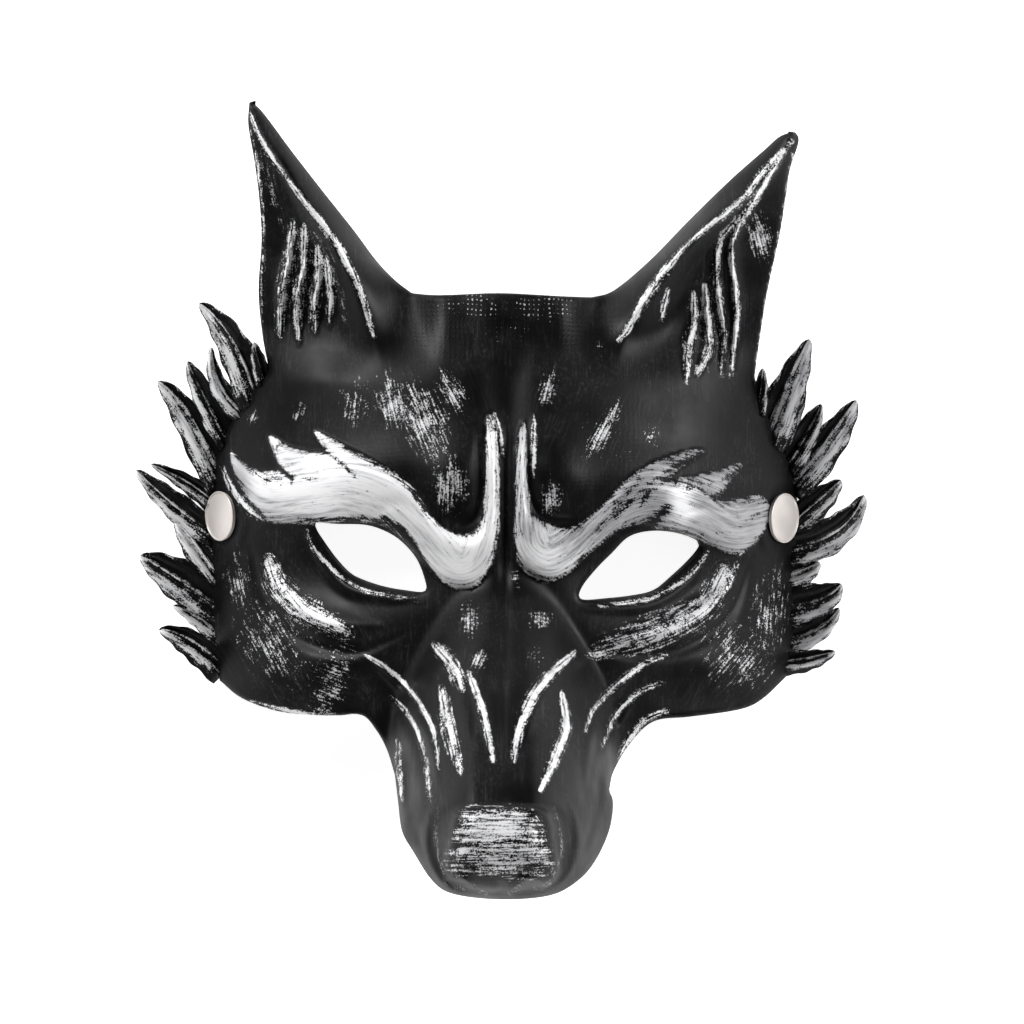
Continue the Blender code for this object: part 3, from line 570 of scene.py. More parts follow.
@dataclass
class WolfRelief:
    """What stands out of, or is pressed into, the outer face."""

    form: WolfForm
    brow_rise: float = 0.0036
    brow_shoulder: float = 17
    fold_rise: float = 0.0016
    nose_rise: float = 0.0030
    nose_slope: float = 6
    nostril_depth: float = 0.0030
    deepest: float = 0.0014
    cap_radius: float = 0.0075
    brows: dict[Side, list[Point]] = field(default_factory=lambda: {
        Side.LEFT: [
            (229, 452), (250, 468), (279, 470), (268, 436), (292, 448), (325, 452), (314, 431), (345, 446),
            (385, 467), (412, 487), (432, 518), (450, 532), (472, 534), (484, 510), (487, 418), (497, 440),
            (499, 520), (492, 560), (475, 586), (455, 588), (432, 572), (408, 545), (385, 526), (352, 521),
            (300, 524), (262, 518), (243, 495),
        ],
        Side.RIGHT: [
            (762, 497), (738, 500), (716, 500), (742, 465), (712, 473), (668, 478), (705, 450), (665, 458),
            (630, 478), (596, 512), (572, 528), (548, 524), (530, 505), (525, 423), (517, 450), (515, 540),
            (522, 568), (545, 581), (568, 572), (592, 550), (625, 526), (655, 527), (700, 540), (735, 554),
            (758, 540), (770, 515),
        ],
    })
    folds: list[Fold] = field(default_factory=lambda: [
        Fold([(306, 530), (318, 556), (345, 585), (380, 596), (424, 600)], 7, 1.2),
        Fold([(708, 552), (690, 580), (655, 602), (620, 608), (582, 610)], 7, 1.2),
        Fold([(262, 560), (282, 598), (325, 622), (380, 626)], 16, 1.6),
        Fold([(738, 568), (718, 602), (675, 628), (610, 640)], 16, 1.6),
        Fold([(250, 545), (264, 600), (305, 640), (355, 652), (405, 634)], 7, -1.1),
        Fold([(752, 556), (730, 612), (690, 645), (640, 655), (590, 650)], 7, -1.1),
        Fold([(506, 430), (505, 520), (505, 620), (503, 700), (502, 780)], 6, -0.9),
        Fold([(477, 430), (480, 500), (466, 524), (444, 516)], 6, -1.0),
        Fold([(534, 430), (532, 495), (548, 518), (575, 518)], 6, -1.0),
        Fold([(362, 655), (400, 690), (428, 735), (440, 790)], 6, 1.3),
        Fold([(664, 655), (620, 685), (594, 725), (584, 790)], 6, 1.3),
        Fold([(440, 648), (458, 690), (470, 745)], 8, 1.2),
        Fold([(572, 655), (545, 690), (520, 745)], 8, 1.2),
        Fold([(469, 675), (480, 701), (487, 729), (491, 755)], 5, 1.0),
        Fold([(562, 696), (564, 724), (556, 749), (542, 785)], 6, 1.0),
        Fold([(388, 700), (412, 750), (424, 810)], 7, 1.0),
        Fold([(632, 705), (602, 760), (594, 810)], 7, 1.0),
        Fold([(293, 225), (288, 259), (281, 297), (279, 340)], 5.5, 2.4),
        Fold([(306, 233), (304, 264), (297, 299), (299, 345)], 5.5, 2.5),
        Fold([(316, 251), (318, 274), (315, 302), (315, 335)], 5, 2.1),
        Fold([(326, 262), (330, 297), (329, 328)], 4.5, 1.5),
        Fold([(770, 174), (755, 200), (740, 223), (732, 250), (736, 292), (737, 322), (731, 376)], 5, 1.9),
        Fold([(737, 218), (722, 238), (717, 259), (718, 292), (724, 330), (722, 376)], 5, 1.8),
        Fold([(705, 284), (708, 325), (709, 348), (696, 380)], 5, 1.7),
        Fold([(694, 292), (694, 322), (689, 343), (686, 385)], 5, 0.9),
        Fold([(222, 468), (240, 502), (263, 520)], 5, 0.8),
        Fold([(492, 410), (500, 433), (503, 455)], 4, 0.8),
        Fold([(534, 416), (533, 477)], 4, 0.8),
        Fold([(653, 548), (665, 525), (700, 508), (745, 512)], 5, -0.5),
        Fold([(362, 520), (400, 503), (430, 530)], 6, -0.3),
        Fold([(461, 803), (446, 812), (438, 840), (444, 876)], 6, -0.9),
        Fold([(545, 803), (558, 812), (566, 840), (556, 876)], 6, -0.9),
        Fold([(502, 878), (503, 899)], 5, -1.4),
        Fold([(436, 800), (428, 822), (427, 850), (440, 878), (462, 892)], 4, 1.3),
        Fold([(568, 800), (576, 822), (577, 850), (566, 876), (545, 890)], 4, 1.3),
        Fold([(408, 745), (409, 790), (416, 830), (430, 862)], 4, -1.0),
        Fold([(602, 745), (597, 790), (590, 830), (576, 862)], 4, -1.0),
        Fold([(398, 735), (400, 775), (404, 810)], 4, 1.0),
        Fold([(612, 750), (606, 785), (603, 815)], 4, 1.0),
        Fold([(444, 884), (452, 876), (464, 876), (476, 886)], 3.5, 1.7),
        Fold([(514, 888), (524, 877), (538, 876), (548, 884)], 3.5, 1.7),
    ])
    nose_pad: list[Point] = field(default_factory=lambda: [
        (458, 808), (503, 803), (546, 808), (556, 840), (560, 868), (548, 884), (503, 890), (458, 882),
        (444, 866), (449, 838),
    ])
    nostrils: list[Mound] = field(default_factory=lambda: [
        Mound(461, 885, 13, 6, -18, 1),
        Mound(529, 886, 13, 6, 18, 1),
    ])

    def plateau(self, across: np.ndarray, down: np.ndarray, loop: np.ndarray, shoulder: float) -> np.ndarray:
        """A pad with rounded shoulders inside a loop.

        Args:
            across: Chart points' first coordinate.
            down: Their second.
            loop: The pad's outline.
            shoulder: Width of the rounded edge, in chart units.

        Returns:
            0 outside, rising to 1 well inside.
        """
        near = nearest_on_loop(across, down, loop)
        t = np.clip(near.far / shoulder, 0, 1)
        return np.where(inside_loop(across, down, loop), np.sqrt(1 - (1 - t) ** 2), 0.0)

    def rise(self, across: np.ndarray, down: np.ndarray) -> np.ndarray:
        """Height of the relief at chart points."""
        rise = np.zeros(across.shape)
        for outline in self.brows.values():
            rise += self.brow_rise * self.plateau(across, down, smooth_loop(outline), self.brow_shoulder)
        for fold in self.folds:
            near = nearest_on_run(across, down, smooth_run(fold.path))
            taper = fold.ends + (1 - fold.ends) * np.sin(math.pi * np.clip(near.share, 0.02, 0.98))
            rise += self.fold_rise * fold.rise * hill(near.far / (fold.half * taper)) * taper
        rise += self.nose_rise * self.plateau(across, down, smooth_loop(self.nose_pad), self.nose_slope)
        for nostril in self.nostrils:
            rise -= self.nostril_depth * nostril.spread(across, down)
        rise = smooth_max(rise, np.full(rise.shape, -self.deepest), self.deepest)
        x, y = self.form.chart.place(across, down)
        for side in Side:
            middle, _ = self.form.seat(side)
            rise *= ease((np.hypot(x - middle.x, y - middle.y) - self.cap_radius) / self.form.seat_blend)
        return rise


@dataclass(frozen=True)
class Stroke:
    """A brush stroke along a path in chart units."""

    path: list[Point]
    half: float
    brush: Brush
    weave: float = 0.0
    dull: float = 0.26


@dataclass(frozen=True)
class Dab:
    """A dry dab of the brush: a tilted oval in chart units, its hairs along its tilt."""

    across: float
    down: float
    wide: float
    high: float
    tilt: float
    brush: Brush
    weave: float = 0.0
    dull: float = 0.45


@dataclass
class SilverPaint:
    """Where the silver lies on the face, how thickly, and which way the brush went.

    The seeds tell the touches of the brush apart: the first one's, and the step to the next.
    """

    relief: WolfRelief
    dab_seeds: tuple[float, float] = (0, 7.3)
    stroke_seeds: tuple[float, float] = (200, 5.1)
    brow_seeds: tuple[float, float] = (500, 40)
    nose_seed: float = 640
    brow_flow: dict[Side, list[Point]] = field(default_factory=lambda: {
        Side.LEFT: [
            (228, 470), (262, 496), (310, 492), (350, 488), (390, 503), (420, 532), (446, 562), (466, 568),
            (482, 548), (490, 500), (490, 420),
        ],
        Side.RIGHT: [
            (772, 520), (735, 528), (700, 512), (655, 500), (620, 510), (592, 534), (566, 556), (545, 562),
            (526, 545), (521, 500), (525, 425),
        ],
    })
    strokes: list[Stroke] = field(default_factory=lambda: [
        Stroke([(250, 113), (259, 136), (273, 159), (293, 187)], 2.6, Brush.LOADED),
        Stroke([(290, 183), (309, 208), (332, 238), (350, 269), (362, 297), (373, 336)], 4.2, Brush.LOADED),
        Stroke([(293, 222), (288, 259), (281, 297), (279, 335)], 6.5, Brush.DRY),
        Stroke([(304, 226), (303, 264), (296, 299), (298, 338)], 6.5, Brush.DRY),
        Stroke([(317, 246), (318, 274), (314, 302), (314, 330)], 6.0, Brush.DRY),
        Stroke([(326, 260), (330, 297), (329, 322)], 5.0, Brush.DRY),
        Stroke([(250, 130), (257, 165), (262, 210), (262, 262), (262, 330)], 2.0, Brush.DRY),
        Stroke([(619, 340), (628, 330), (643, 302), (663, 274), (684, 248)], 4.6, Brush.LOADED),
        Stroke([(684, 248), (704, 230), (724, 215), (745, 197), (765, 169), (793, 141)], 3.4, Brush.LOADED),
        Stroke([(785, 150), (770, 174), (755, 200), (740, 223), (732, 245)], 3.2, Brush.LOADED),
        Stroke([(732, 238), (732, 264), (736, 292), (737, 322), (731, 376)], 3.4, Brush.LOADED),
        Stroke(
            [(737, 218), (722, 238), (717, 259), (718, 292), (724, 330), (722, 376)],
            4.4, Brush.DRY, 0.0, 0.45,
        ),
        Stroke([(705, 284), (708, 325), (709, 348), (696, 373)], 6.5, Brush.DRY, 0.0, 0.45),
        Stroke([(694, 292), (694, 322), (689, 343), (686, 381)], 5.5, Brush.DRY, 0.0, 0.45),
        Stroke([(668, 289), (661, 320)], 3.5, Brush.DRY),
        Stroke([(793, 154), (788, 190), (779, 243), (768, 295), (757, 361)], 2.2, Brush.DRY),
        Stroke([(222, 468), (232, 490), (246, 508), (265, 522)], 4.0, Brush.DRY),
        Stroke([(494, 412), (500, 433), (503, 455)], 2.6, Brush.DRY),
        Stroke([(534, 416), (533, 477)], 3.0, Brush.DRY),
        Stroke(
            [(307, 530), (311, 545), (324, 561), (339, 576), (360, 589), (388, 595), (418, 600)],
            2.8, Brush.DRY,
        ),
        Stroke([(708, 552), (699, 565), (686, 578), (666, 591), (643, 600), (600, 606)], 2.8, Brush.DRY),
        Stroke([(268, 562), (278, 586), (300, 608), (346, 632)], 15, Brush.DRY),
        Stroke([(286, 590), (306, 612), (336, 626)], 9, Brush.LOADED),
        Stroke([(724, 572), (704, 606), (655, 632), (596, 650)], 18, Brush.DRY, 0.0, 0.55),
        Stroke([(690, 612), (665, 626), (630, 638)], 8, Brush.DRY),
        Stroke([(365, 655), (385, 667), (408, 688), (426, 714), (434, 732), (439, 767)], 3.0, Brush.LOADED),
        Stroke([(390, 696), (406, 711), (418, 734), (426, 762), (430, 800)], 3.0, Brush.DRY),
        Stroke([(434, 645), (452, 665), (462, 688)], 8, Brush.DRY),
        Stroke([(441, 688), (446, 714), (459, 770)], 8, Brush.DRY),
        Stroke([(469, 672), (480, 701), (487, 729), (493, 760)], 4.2, Brush.LOADED),
        Stroke([(250, 702), (286, 711), (332, 717), (358, 715)], 3.0, Brush.DRY),
        Stroke([(667, 655), (643, 665), (615, 686), (594, 709), (585, 732)], 3.4, Brush.DRY),
        Stroke([(663, 683), (638, 693), (615, 716), (602, 747)], 3.0, Brush.DRY),
        Stroke([(668, 711), (648, 719), (632, 735), (618, 760)], 4.0, Brush.DRY),
        Stroke([(574, 653), (551, 673), (531, 698), (519, 729), (514, 760)], 5.5, Brush.LOADED),
        Stroke([(562, 693), (566, 724), (558, 749), (541, 788)], 5.5, Brush.LOADED),
        Stroke([(398, 740), (399, 775), (402, 800)], 4.0, Brush.GHOST),
        Stroke([(745, 545), (726, 590), (690, 626), (645, 648)], 3.0, Brush.GHOST),
        # The six soft grey lines along the nose pad's bevel and round the nostrils' rims are painted
        # highlights.
        Stroke([(440, 804), (436, 826), (438, 852), (444, 872)], 2.0, Brush.GHOST, 0.0, 0.9),
        Stroke([(552, 804), (559, 826), (561, 852), (556, 872)], 2.0, Brush.GHOST, 0.0, 0.9),
        Stroke([(444, 868), (446, 879), (453, 886), (463, 887)], 1.8, Brush.GHOST, 0.0, 0.8),
        Stroke([(470, 880), (478, 888), (490, 894)], 1.8, Brush.GHOST, 0.0, 0.8),
        Stroke([(553, 868), (551, 878), (544, 885), (533, 887)], 1.8, Brush.GHOST, 0.0, 0.8),
        Stroke([(522, 882), (514, 889), (507, 894)], 1.8, Brush.GHOST, 0.0, 0.8),
        Stroke([(262, 150), (270, 190), (282, 232)], 9, Brush.DUST, 0.0, 0.6),
        Stroke([(312, 232), (330, 268), (344, 318)], 9, Brush.DUST, 0.0, 0.6),
    ])
    dabs: list[Dab] = field(default_factory=lambda: [
        Dab(299, 412, 8, 12, 15, Brush.GHOST),
        Dab(253, 417, 6, 9, 20, Brush.GHOST),
        Dab(356, 402, 18, 30, 4, Brush.GHOST, 0.1),
        Dab(422, 420, 26, 46, -24, Brush.DRY, 0.05),
        Dab(392, 402, 18, 34, -14, Brush.DRY, 0.1),
        Dab(452, 392, 13, 28, -30, Brush.DRY, 0.1),
        Dab(449, 486, 22, 34, 0, Brush.DRY, 0.2),
        Dab(548, 388, 12, 24, 14, Brush.DRY, 0.25),
        Dab(604, 428, 11, 38, 26, Brush.DRY, 0.05),
        Dab(654, 434, 16, 18, 20, Brush.GHOST, 0.3),
        Dab(551, 497, 14, 24, -5, Brush.DRY, 0.3),
        Dab(600, 345, 6, 16, 0, Brush.GHOST, 0.5),
        Dab(760, 236, 14, 28, -15, Brush.DRY, 0),
        Dab(470, 618, 13, 22, 0, Brush.DRY, 0.45),
        Dab(480, 658, 9, 14, 20, Brush.DRY, 0.15),
        Dab(540, 618, 15, 14, 0, Brush.DRY, 0.4),
        Dab(536, 655, 13, 14, 0, Brush.GHOST, 0.4),
        Dab(516, 580, 12, 6, 80, Brush.GHOST, 0.1),
        Dab(270, 640, 36, 46, -30, Brush.GHOST, 0.1),
        Dab(238, 580, 16, 36, -12, Brush.GHOST, 0.1),
        Dab(330, 685, 50, 22, -70, Brush.GHOST, 0.1),
        Dab(735, 655, 44, 34, 40, Brush.GHOST, 0.1),
        Dab(770, 610, 22, 50, 5, Brush.GHOST, 0.1),
        Dab(478, 305, 46, 15, 0, Brush.GHOST, 1.0, 0.6),
        Dab(540, 307, 48, 16, 0, Brush.GHOST, 1.0, 0.6),
        Dab(512, 326, 80, 30, 0, Brush.DUST, 1.0, 0.7),
        Dab(300, 290, 26, 60, 6, Brush.DUST, 0.0),
        Dab(705, 322, 26, 60, -4, Brush.DUST, 0.0),
        Dab(425, 420, 60, 44, -20, Brush.DUST, 0.5),
        Dab(600, 440, 60, 44, 20, Brush.DUST, 0.5),
        Dab(300, 650, 62, 62, -30, Brush.DUST, 0.1),
        Dab(735, 640, 60, 62, 30, Brush.DUST, 0.1),
    ])
    brow_load: dict[Side, float] = field(default_factory=lambda: {Side.LEFT: 1.06, Side.RIGHT: 1.0})
    brow_dull: dict[Side, float] = field(default_factory=lambda: {Side.LEFT: 0.04, Side.RIGHT: 0.72})
    # Painted shade and highlights on the brows' silver: a positive rise darkens it (painted shade), a
    # negative one brightens it (painted highlight).
    brow_shade_and_highlight: list[Mound] = field(default_factory=lambda: [
        Mound(240, 478, 18, 34, 0, 0.65),
        Mound(270, 506, 34, 16, 0, 0.45),
        Mound(300, 520, 60, 8, 0, 0.40),
        Mound(405, 550, 12, 46, 45, 0.50),
        Mound(290, 458, 14, 16, 0, 0.25),
        Mound(350, 462, 36, 10, -25, 0.40),
        Mound(470, 585, 34, 12, 0, 0.30),
        Mound(653, 522, 9, 34, -50, 0.35),
        Mound(682, 503, 15, 24, 0, -0.75),
        Mound(553, 556, 40, 28, 0, -0.60),
        Mound(521, 480, 9, 70, 0, -0.55),
        Mound(632, 545, 10, 30, -50, -0.30),
    ])
    # Dark lines in the brows' silver where their locks meet: painted shade in the creases and grooves there.
    brow_crease_shade: list[Stroke] = field(default_factory=lambda: [
        Stroke([(230, 470), (246, 500), (262, 516)], 3.2, Brush.DRY),
        Stroke([(250, 468), (266, 480), (290, 483)], 4.0, Brush.GHOST),
        Stroke([(268, 440), (276, 462), (292, 480)], 2.2, Brush.DRY),
        Stroke([(279, 470), (296, 478), (318, 478)], 2.6, Brush.GHOST),
        Stroke([(325, 452), (340, 462), (356, 478)], 2.4, Brush.DRY),
        Stroke([(345, 448), (380, 466), (408, 488), (425, 512)], 3.0, Brush.GHOST),
        Stroke([(385, 520), (404, 536), (422, 562), (432, 578)], 4.5, Brush.DRY),
        Stroke([(372, 512), (398, 524), (416, 546)], 2.6, Brush.GHOST),
        Stroke([(300, 519), (340, 519), (380, 521)], 2.4, Brush.GHOST),
        Stroke([(600, 560), (622, 540), (645, 526), (668, 508)], 4.8, Brush.LOADED),
        Stroke([(640, 480), (612, 512), (590, 540)], 2.8, Brush.GHOST),
        Stroke([(700, 455), (668, 470), (638, 494), (616, 518)], 2.4, Brush.DRY),
        Stroke([(716, 500), (698, 490), (676, 484)], 2.6, Brush.DRY),
        Stroke([(738, 470), (716, 482), (690, 482)], 2.2, Brush.GHOST),
        Stroke([(760, 512), (735, 530), (712, 534)], 2.4, Brush.GHOST),
        Stroke([(668, 478), (650, 492), (640, 506)], 2.4, Brush.DRY),
    ])
    nose_top: list[Point] = field(default_factory=lambda: [
        (466, 809), (500, 807), (532, 809), (543, 835), (553, 864), (540, 874), (503, 877), (462, 874),
        (444, 864), (456, 836),
    ])

    def spread(self, across: np.ndarray, down: np.ndarray) -> tuple[np.ndarray, ...]:
        """Works out the paint at chart points.

        Args:
            across: Chart points' first coordinate.
            down: Their second.

        Returns:
            Cover from 0 up, the brush's own coordinates (along, across, which stroke), the weave
            that shows through, and how dull the silver is, painted shade and highlights on the brows
            included.
        """
        cover = np.zeros(across.shape)
        weave = np.zeros(across.shape)
        dulled = np.zeros(across.shape)
        flow = np.stack([down, across, np.zeros(across.shape)], axis=-1)

        def lay(
            amount: np.ndarray, along: np.ndarray, aside: np.ndarray, which: float, woven: float,
            dull: np.ndarray | float,
        ) -> None:
            """Lays one touch of the brush where it covers more than those before it."""
            stronger = amount > cover
            cover[stronger] = amount[stronger]
            weave[stronger] = woven
            dulled[stronger] = np.broadcast_to(dull, across.shape)[stronger]
            flow[stronger] = np.stack([along, aside, np.full(along.shape, which)], axis=-1)[stronger]

        for i, dab in enumerate(self.dabs):
            tilt = math.radians(dab.tilt)
            dx, dy = across - dab.across, down - dab.down
            aside = dx * math.cos(tilt) + dy * math.sin(tilt)
            along = dy * math.cos(tilt) - dx * math.sin(tilt)
            reach = np.hypot(aside / dab.wide, along / dab.high)
            amount = dab.brush.value * (1 - ease((reach - 0.2) / 1.15))
            lay(amount, along, aside, self.dab_seeds[0] + self.dab_seeds[1] * i, dab.weave, dab.dull)
        for i, stroke in enumerate(self.strokes):
            near = nearest_on_run(across, down, smooth_run(stroke.path))
            taper = 0.35 + 0.65 * np.sin(math.pi * np.clip(near.share, 0.03, 0.97)) ** 0.5
            amount = stroke.brush.value * (1 - ease((near.far / (stroke.half * taper) - 0.1) / 1.5))
            seed = self.stroke_seeds[0] + self.stroke_seeds[1] * i
            lay(amount, near.along, near.offset, seed, stroke.weave, stroke.dull)
        for i, side in enumerate(Side):
            loop = smooth_loop(self.relief.brows[side])
            edge = nearest_on_loop(across, down, loop).far
            flows = nearest_on_run(across, down, smooth_run(self.brow_flow[side]))
            load = self.brow_load[side] - 0.34 * (1 - ease(edge / 10))
            # The crease lines take silver away from the brows: painted crease shade.
            for crease_line in self.brow_crease_shade:
                near = nearest_on_run(across, down, smooth_run(crease_line.path))
                load = load - 1.15 * crease_line.brush.value * hill(near.far / crease_line.half)
            dull = np.full(across.shape, self.brow_dull[side])
            # Painted shade and highlights make the brows' silver duller or brighter here.
            for shade in self.brow_shade_and_highlight:
                dull = dull + shade.rise * shade.spread(across, down)
            amount = np.where(inside_loop(across, down, loop), load, 0.42 - 0.30 * edge)
            lay(amount, flows.along, flows.offset, self.brow_seeds[0] + self.brow_seeds[1] * i, 0.0, dull)
        loop = smooth_loop(self.nose_top)
        edge = nearest_on_loop(across, down, loop).far
        amount = np.where(inside_loop(across, down, loop), 0.44 + 0.22 * ease(edge / 14), 0.44 - 0.07 * edge)
        amount = amount - 0.16 * ease((down - 834) / 30)
        lay(amount, across, down, self.nose_seed, 0.0, 0.32 + 0.22 * ease((down - 836) / 30))
        return np.maximum(cover, 0), flow, weave, np.clip(dulled, 0, 1)


def store(mesh: bpy.types.Mesh, **paint: np.ndarray) -> None:
    """Keeps the paint on a mesh. Vertices past the last value get none.

    Args:
        mesh: The mesh.
        **paint: By name, one value or vector for each of the first vertices.
    """
    for name, values in paint.items():
        full = np.zeros((len(mesh.vertices), *values.shape[1:]), np.float32)
        full[:len(values)] = values
        kind, field_name = ("FLOAT_VECTOR", "vector") if values.ndim > 1 else ("FLOAT", "value")
        mesh.attributes.new(name, kind, "POINT").data.foreach_set(field_name, full.ravel())


def add_piece(name: str, mesh: bpy.types.Mesh, finish: bpy.types.Material) -> bpy.types.Object:
    """Makes a piece of the mask with its finish, and lets it ride on the mask.

    Args:
        name: The piece's name.
        mesh: Its mesh, in place.
        finish: Its material.

    Returns:
        The new object.
    """
    piece = bpy.data.objects.new(name, mesh)
    bpy.context.scene.collection.objects.link(piece)
    mesh.materials.append(finish)
    mesh.shade_smooth()
    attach(piece, "root")
    return piece


def mesh_from(work: bmesh.types.BMesh, name: str) -> bpy.types.Mesh:
    """Turns finished mesh work into a mesh."""
    mesh = bpy.data.meshes.new(name)
    work.to_mesh(mesh)
    work.free()
    return mesh


def face_sheet(work: bmesh.types.BMesh, upward: bool) -> None:
    """Turns all faces of an open sheet the same way.

    Args:
        work: The sheet.
        upward: Whether they look up or down.
    """
    bmesh.ops.recalc_face_normals(work, faces=work.faces)
    if (sum(face.normal.z for face in work.faces) > 0) != upward:
        bmesh.ops.reverse_faces(work, faces=work.faces)


def walled(mesh: bpy.types.Mesh, wall: float) -> bpy.types.Mesh:
    """Gives an open sheet a wall on its back.

    Args:
        mesh: The sheet. Its own vertices stay the first ones.
        wall: Thickness.

    Returns:
        The closed mesh.
    """
    sheet = bpy.data.objects.new("sheet", mesh)
    bpy.context.scene.collection.objects.link(sheet)
    thick = sheet.modifiers.new("Wall", "SOLIDIFY")
    thick.thickness = wall
    thick.offset = -1
    graph = bpy.context.evaluated_depsgraph_get()
    solid = bpy.data.meshes.new_from_object(sheet.evaluated_get(graph), depsgraph=graph)
    bpy.data.objects.remove(sheet)
    return solid


@dataclass
class MouldedFace:
    """The moulding without its fur: face, muzzle and ears in one thin wall."""

    form: WolfForm
    relief: WolfRelief
    paint: SilverPaint
    outline: Outline = field(default_factory=Outline)
    grid_step: float = 0.00082
    grid_weld: float = 0.00004
    wall: float = 0.0022
    rim_width: float = 0.0014
    rim_fall: float = 0.0009

    def sheet(self) -> tuple[bpy.types.Mesh, np.ndarray]:
        """Makes the main form as a fine open sheet that ends exactly on the outline.

        Returns:
            The sheet, and the chart points of its vertices.
        """
        chart = self.form.chart
        loops = self.outline.loops()
        step = self.grid_step / chart.unit
        low = loops[0].min(axis=0) - 2 * step
        high = loops[0].max(axis=0) + 2 * step
        columns, rows = np.ceil((high - low) / step).astype(int)
        work = bmesh.new()
        bmesh.ops.create_grid(work, x_segments=int(columns), y_segments=int(rows), size=0.5)
        at = (low + high) / 2 + np.array([v.co[:2] for v in work.verts]) * (high - low)
        across, down = at[:, 0], at[:, 1]
        within = inside_loop(across, down, loops[0])
        far = np.full(across.shape, 1e9)
        goal = at.copy()
        for i, loop in enumerate(loops):
            near = nearest_on_loop(across, down, loop)
            goal = np.where((near.far < far)[:, None], near.place, goal)
            far = np.minimum(far, near.far)
            if i:
                within &= ~inside_loop(across, down, loop)
        firm = within & (far > 0.3 * step)
        work.verts.ensure_lookup_table()
        spare = [face for face in work.faces if not any(firm[v.index] for v in face.verts)]
        at = np.where(firm[:, None], at, goal)
        heights = self.form.height(at[:, 0], at[:, 1])
        x, y = chart.place(at[:, 0], at[:, 1])
        for vert in work.verts:
            i = vert.index
            vert.co = (x[i], y[i], heights[i])
        bmesh.ops.delete(work, geom=spare, context="FACES")
        bmesh.ops.remove_doubles(work, verts=work.verts, dist=self.grid_weld)
        face_sheet(work, True)
        spots = np.array([v.co for v in work.verts])
        return mesh_from(work, "mask_face"), chart.find(spots[:, 0], spots[:, 1])

    def build(self, finish: bpy.types.Material) -> bpy.types.Object:
        """Builds the moulded face.

        Args:
            finish: The painted rubber.

        Returns:
            The piece.
        """
        sheet, at = self.sheet()
        across, down = at.T
        mesh = walled(sheet, self.wall)
        count = len(across)
        spots = np.empty(len(mesh.vertices) * 3, np.float32)
        mesh.vertices.foreach_get("co", spots)
        spots = spots.reshape(-1, 3)
        edge = np.full(count, 1e9)
        for loop in self.outline.loops():
            edge = np.minimum(edge, nearest_on_loop(across, down, loop).far)
        t = 1 - np.clip(edge * self.form.chart.unit / self.rim_width, 0, 1)
        rim = self.rim_fall * (1 - np.sqrt(1 - t * t))
        spots[:count, 2] += self.relief.rise(across, down) - rim
        spots[:, 2] = np.maximum(spots[:, 2], 0)
        mesh.vertices.foreach_set("co", spots.ravel())
        cover, flow, weave, dull = self.paint.spread(across, down)
        store(mesh, silver=cover, flow=flow * self.form.chart.unit, weave=weave, dull=dull)
        piece = add_piece("mask_face", mesh, finish)
        mesh.set_sharp_from_angle(angle=RUBBER_EDGE)
        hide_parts("mask_shell")
        return piece


@dataclass(frozen=True)
class FurLock:
    """One lock of fur, from its root on the moulding's side to its tip, in chart units."""

    root: Point
    bend: Point
    tip: Point
    half: float
    lift: float


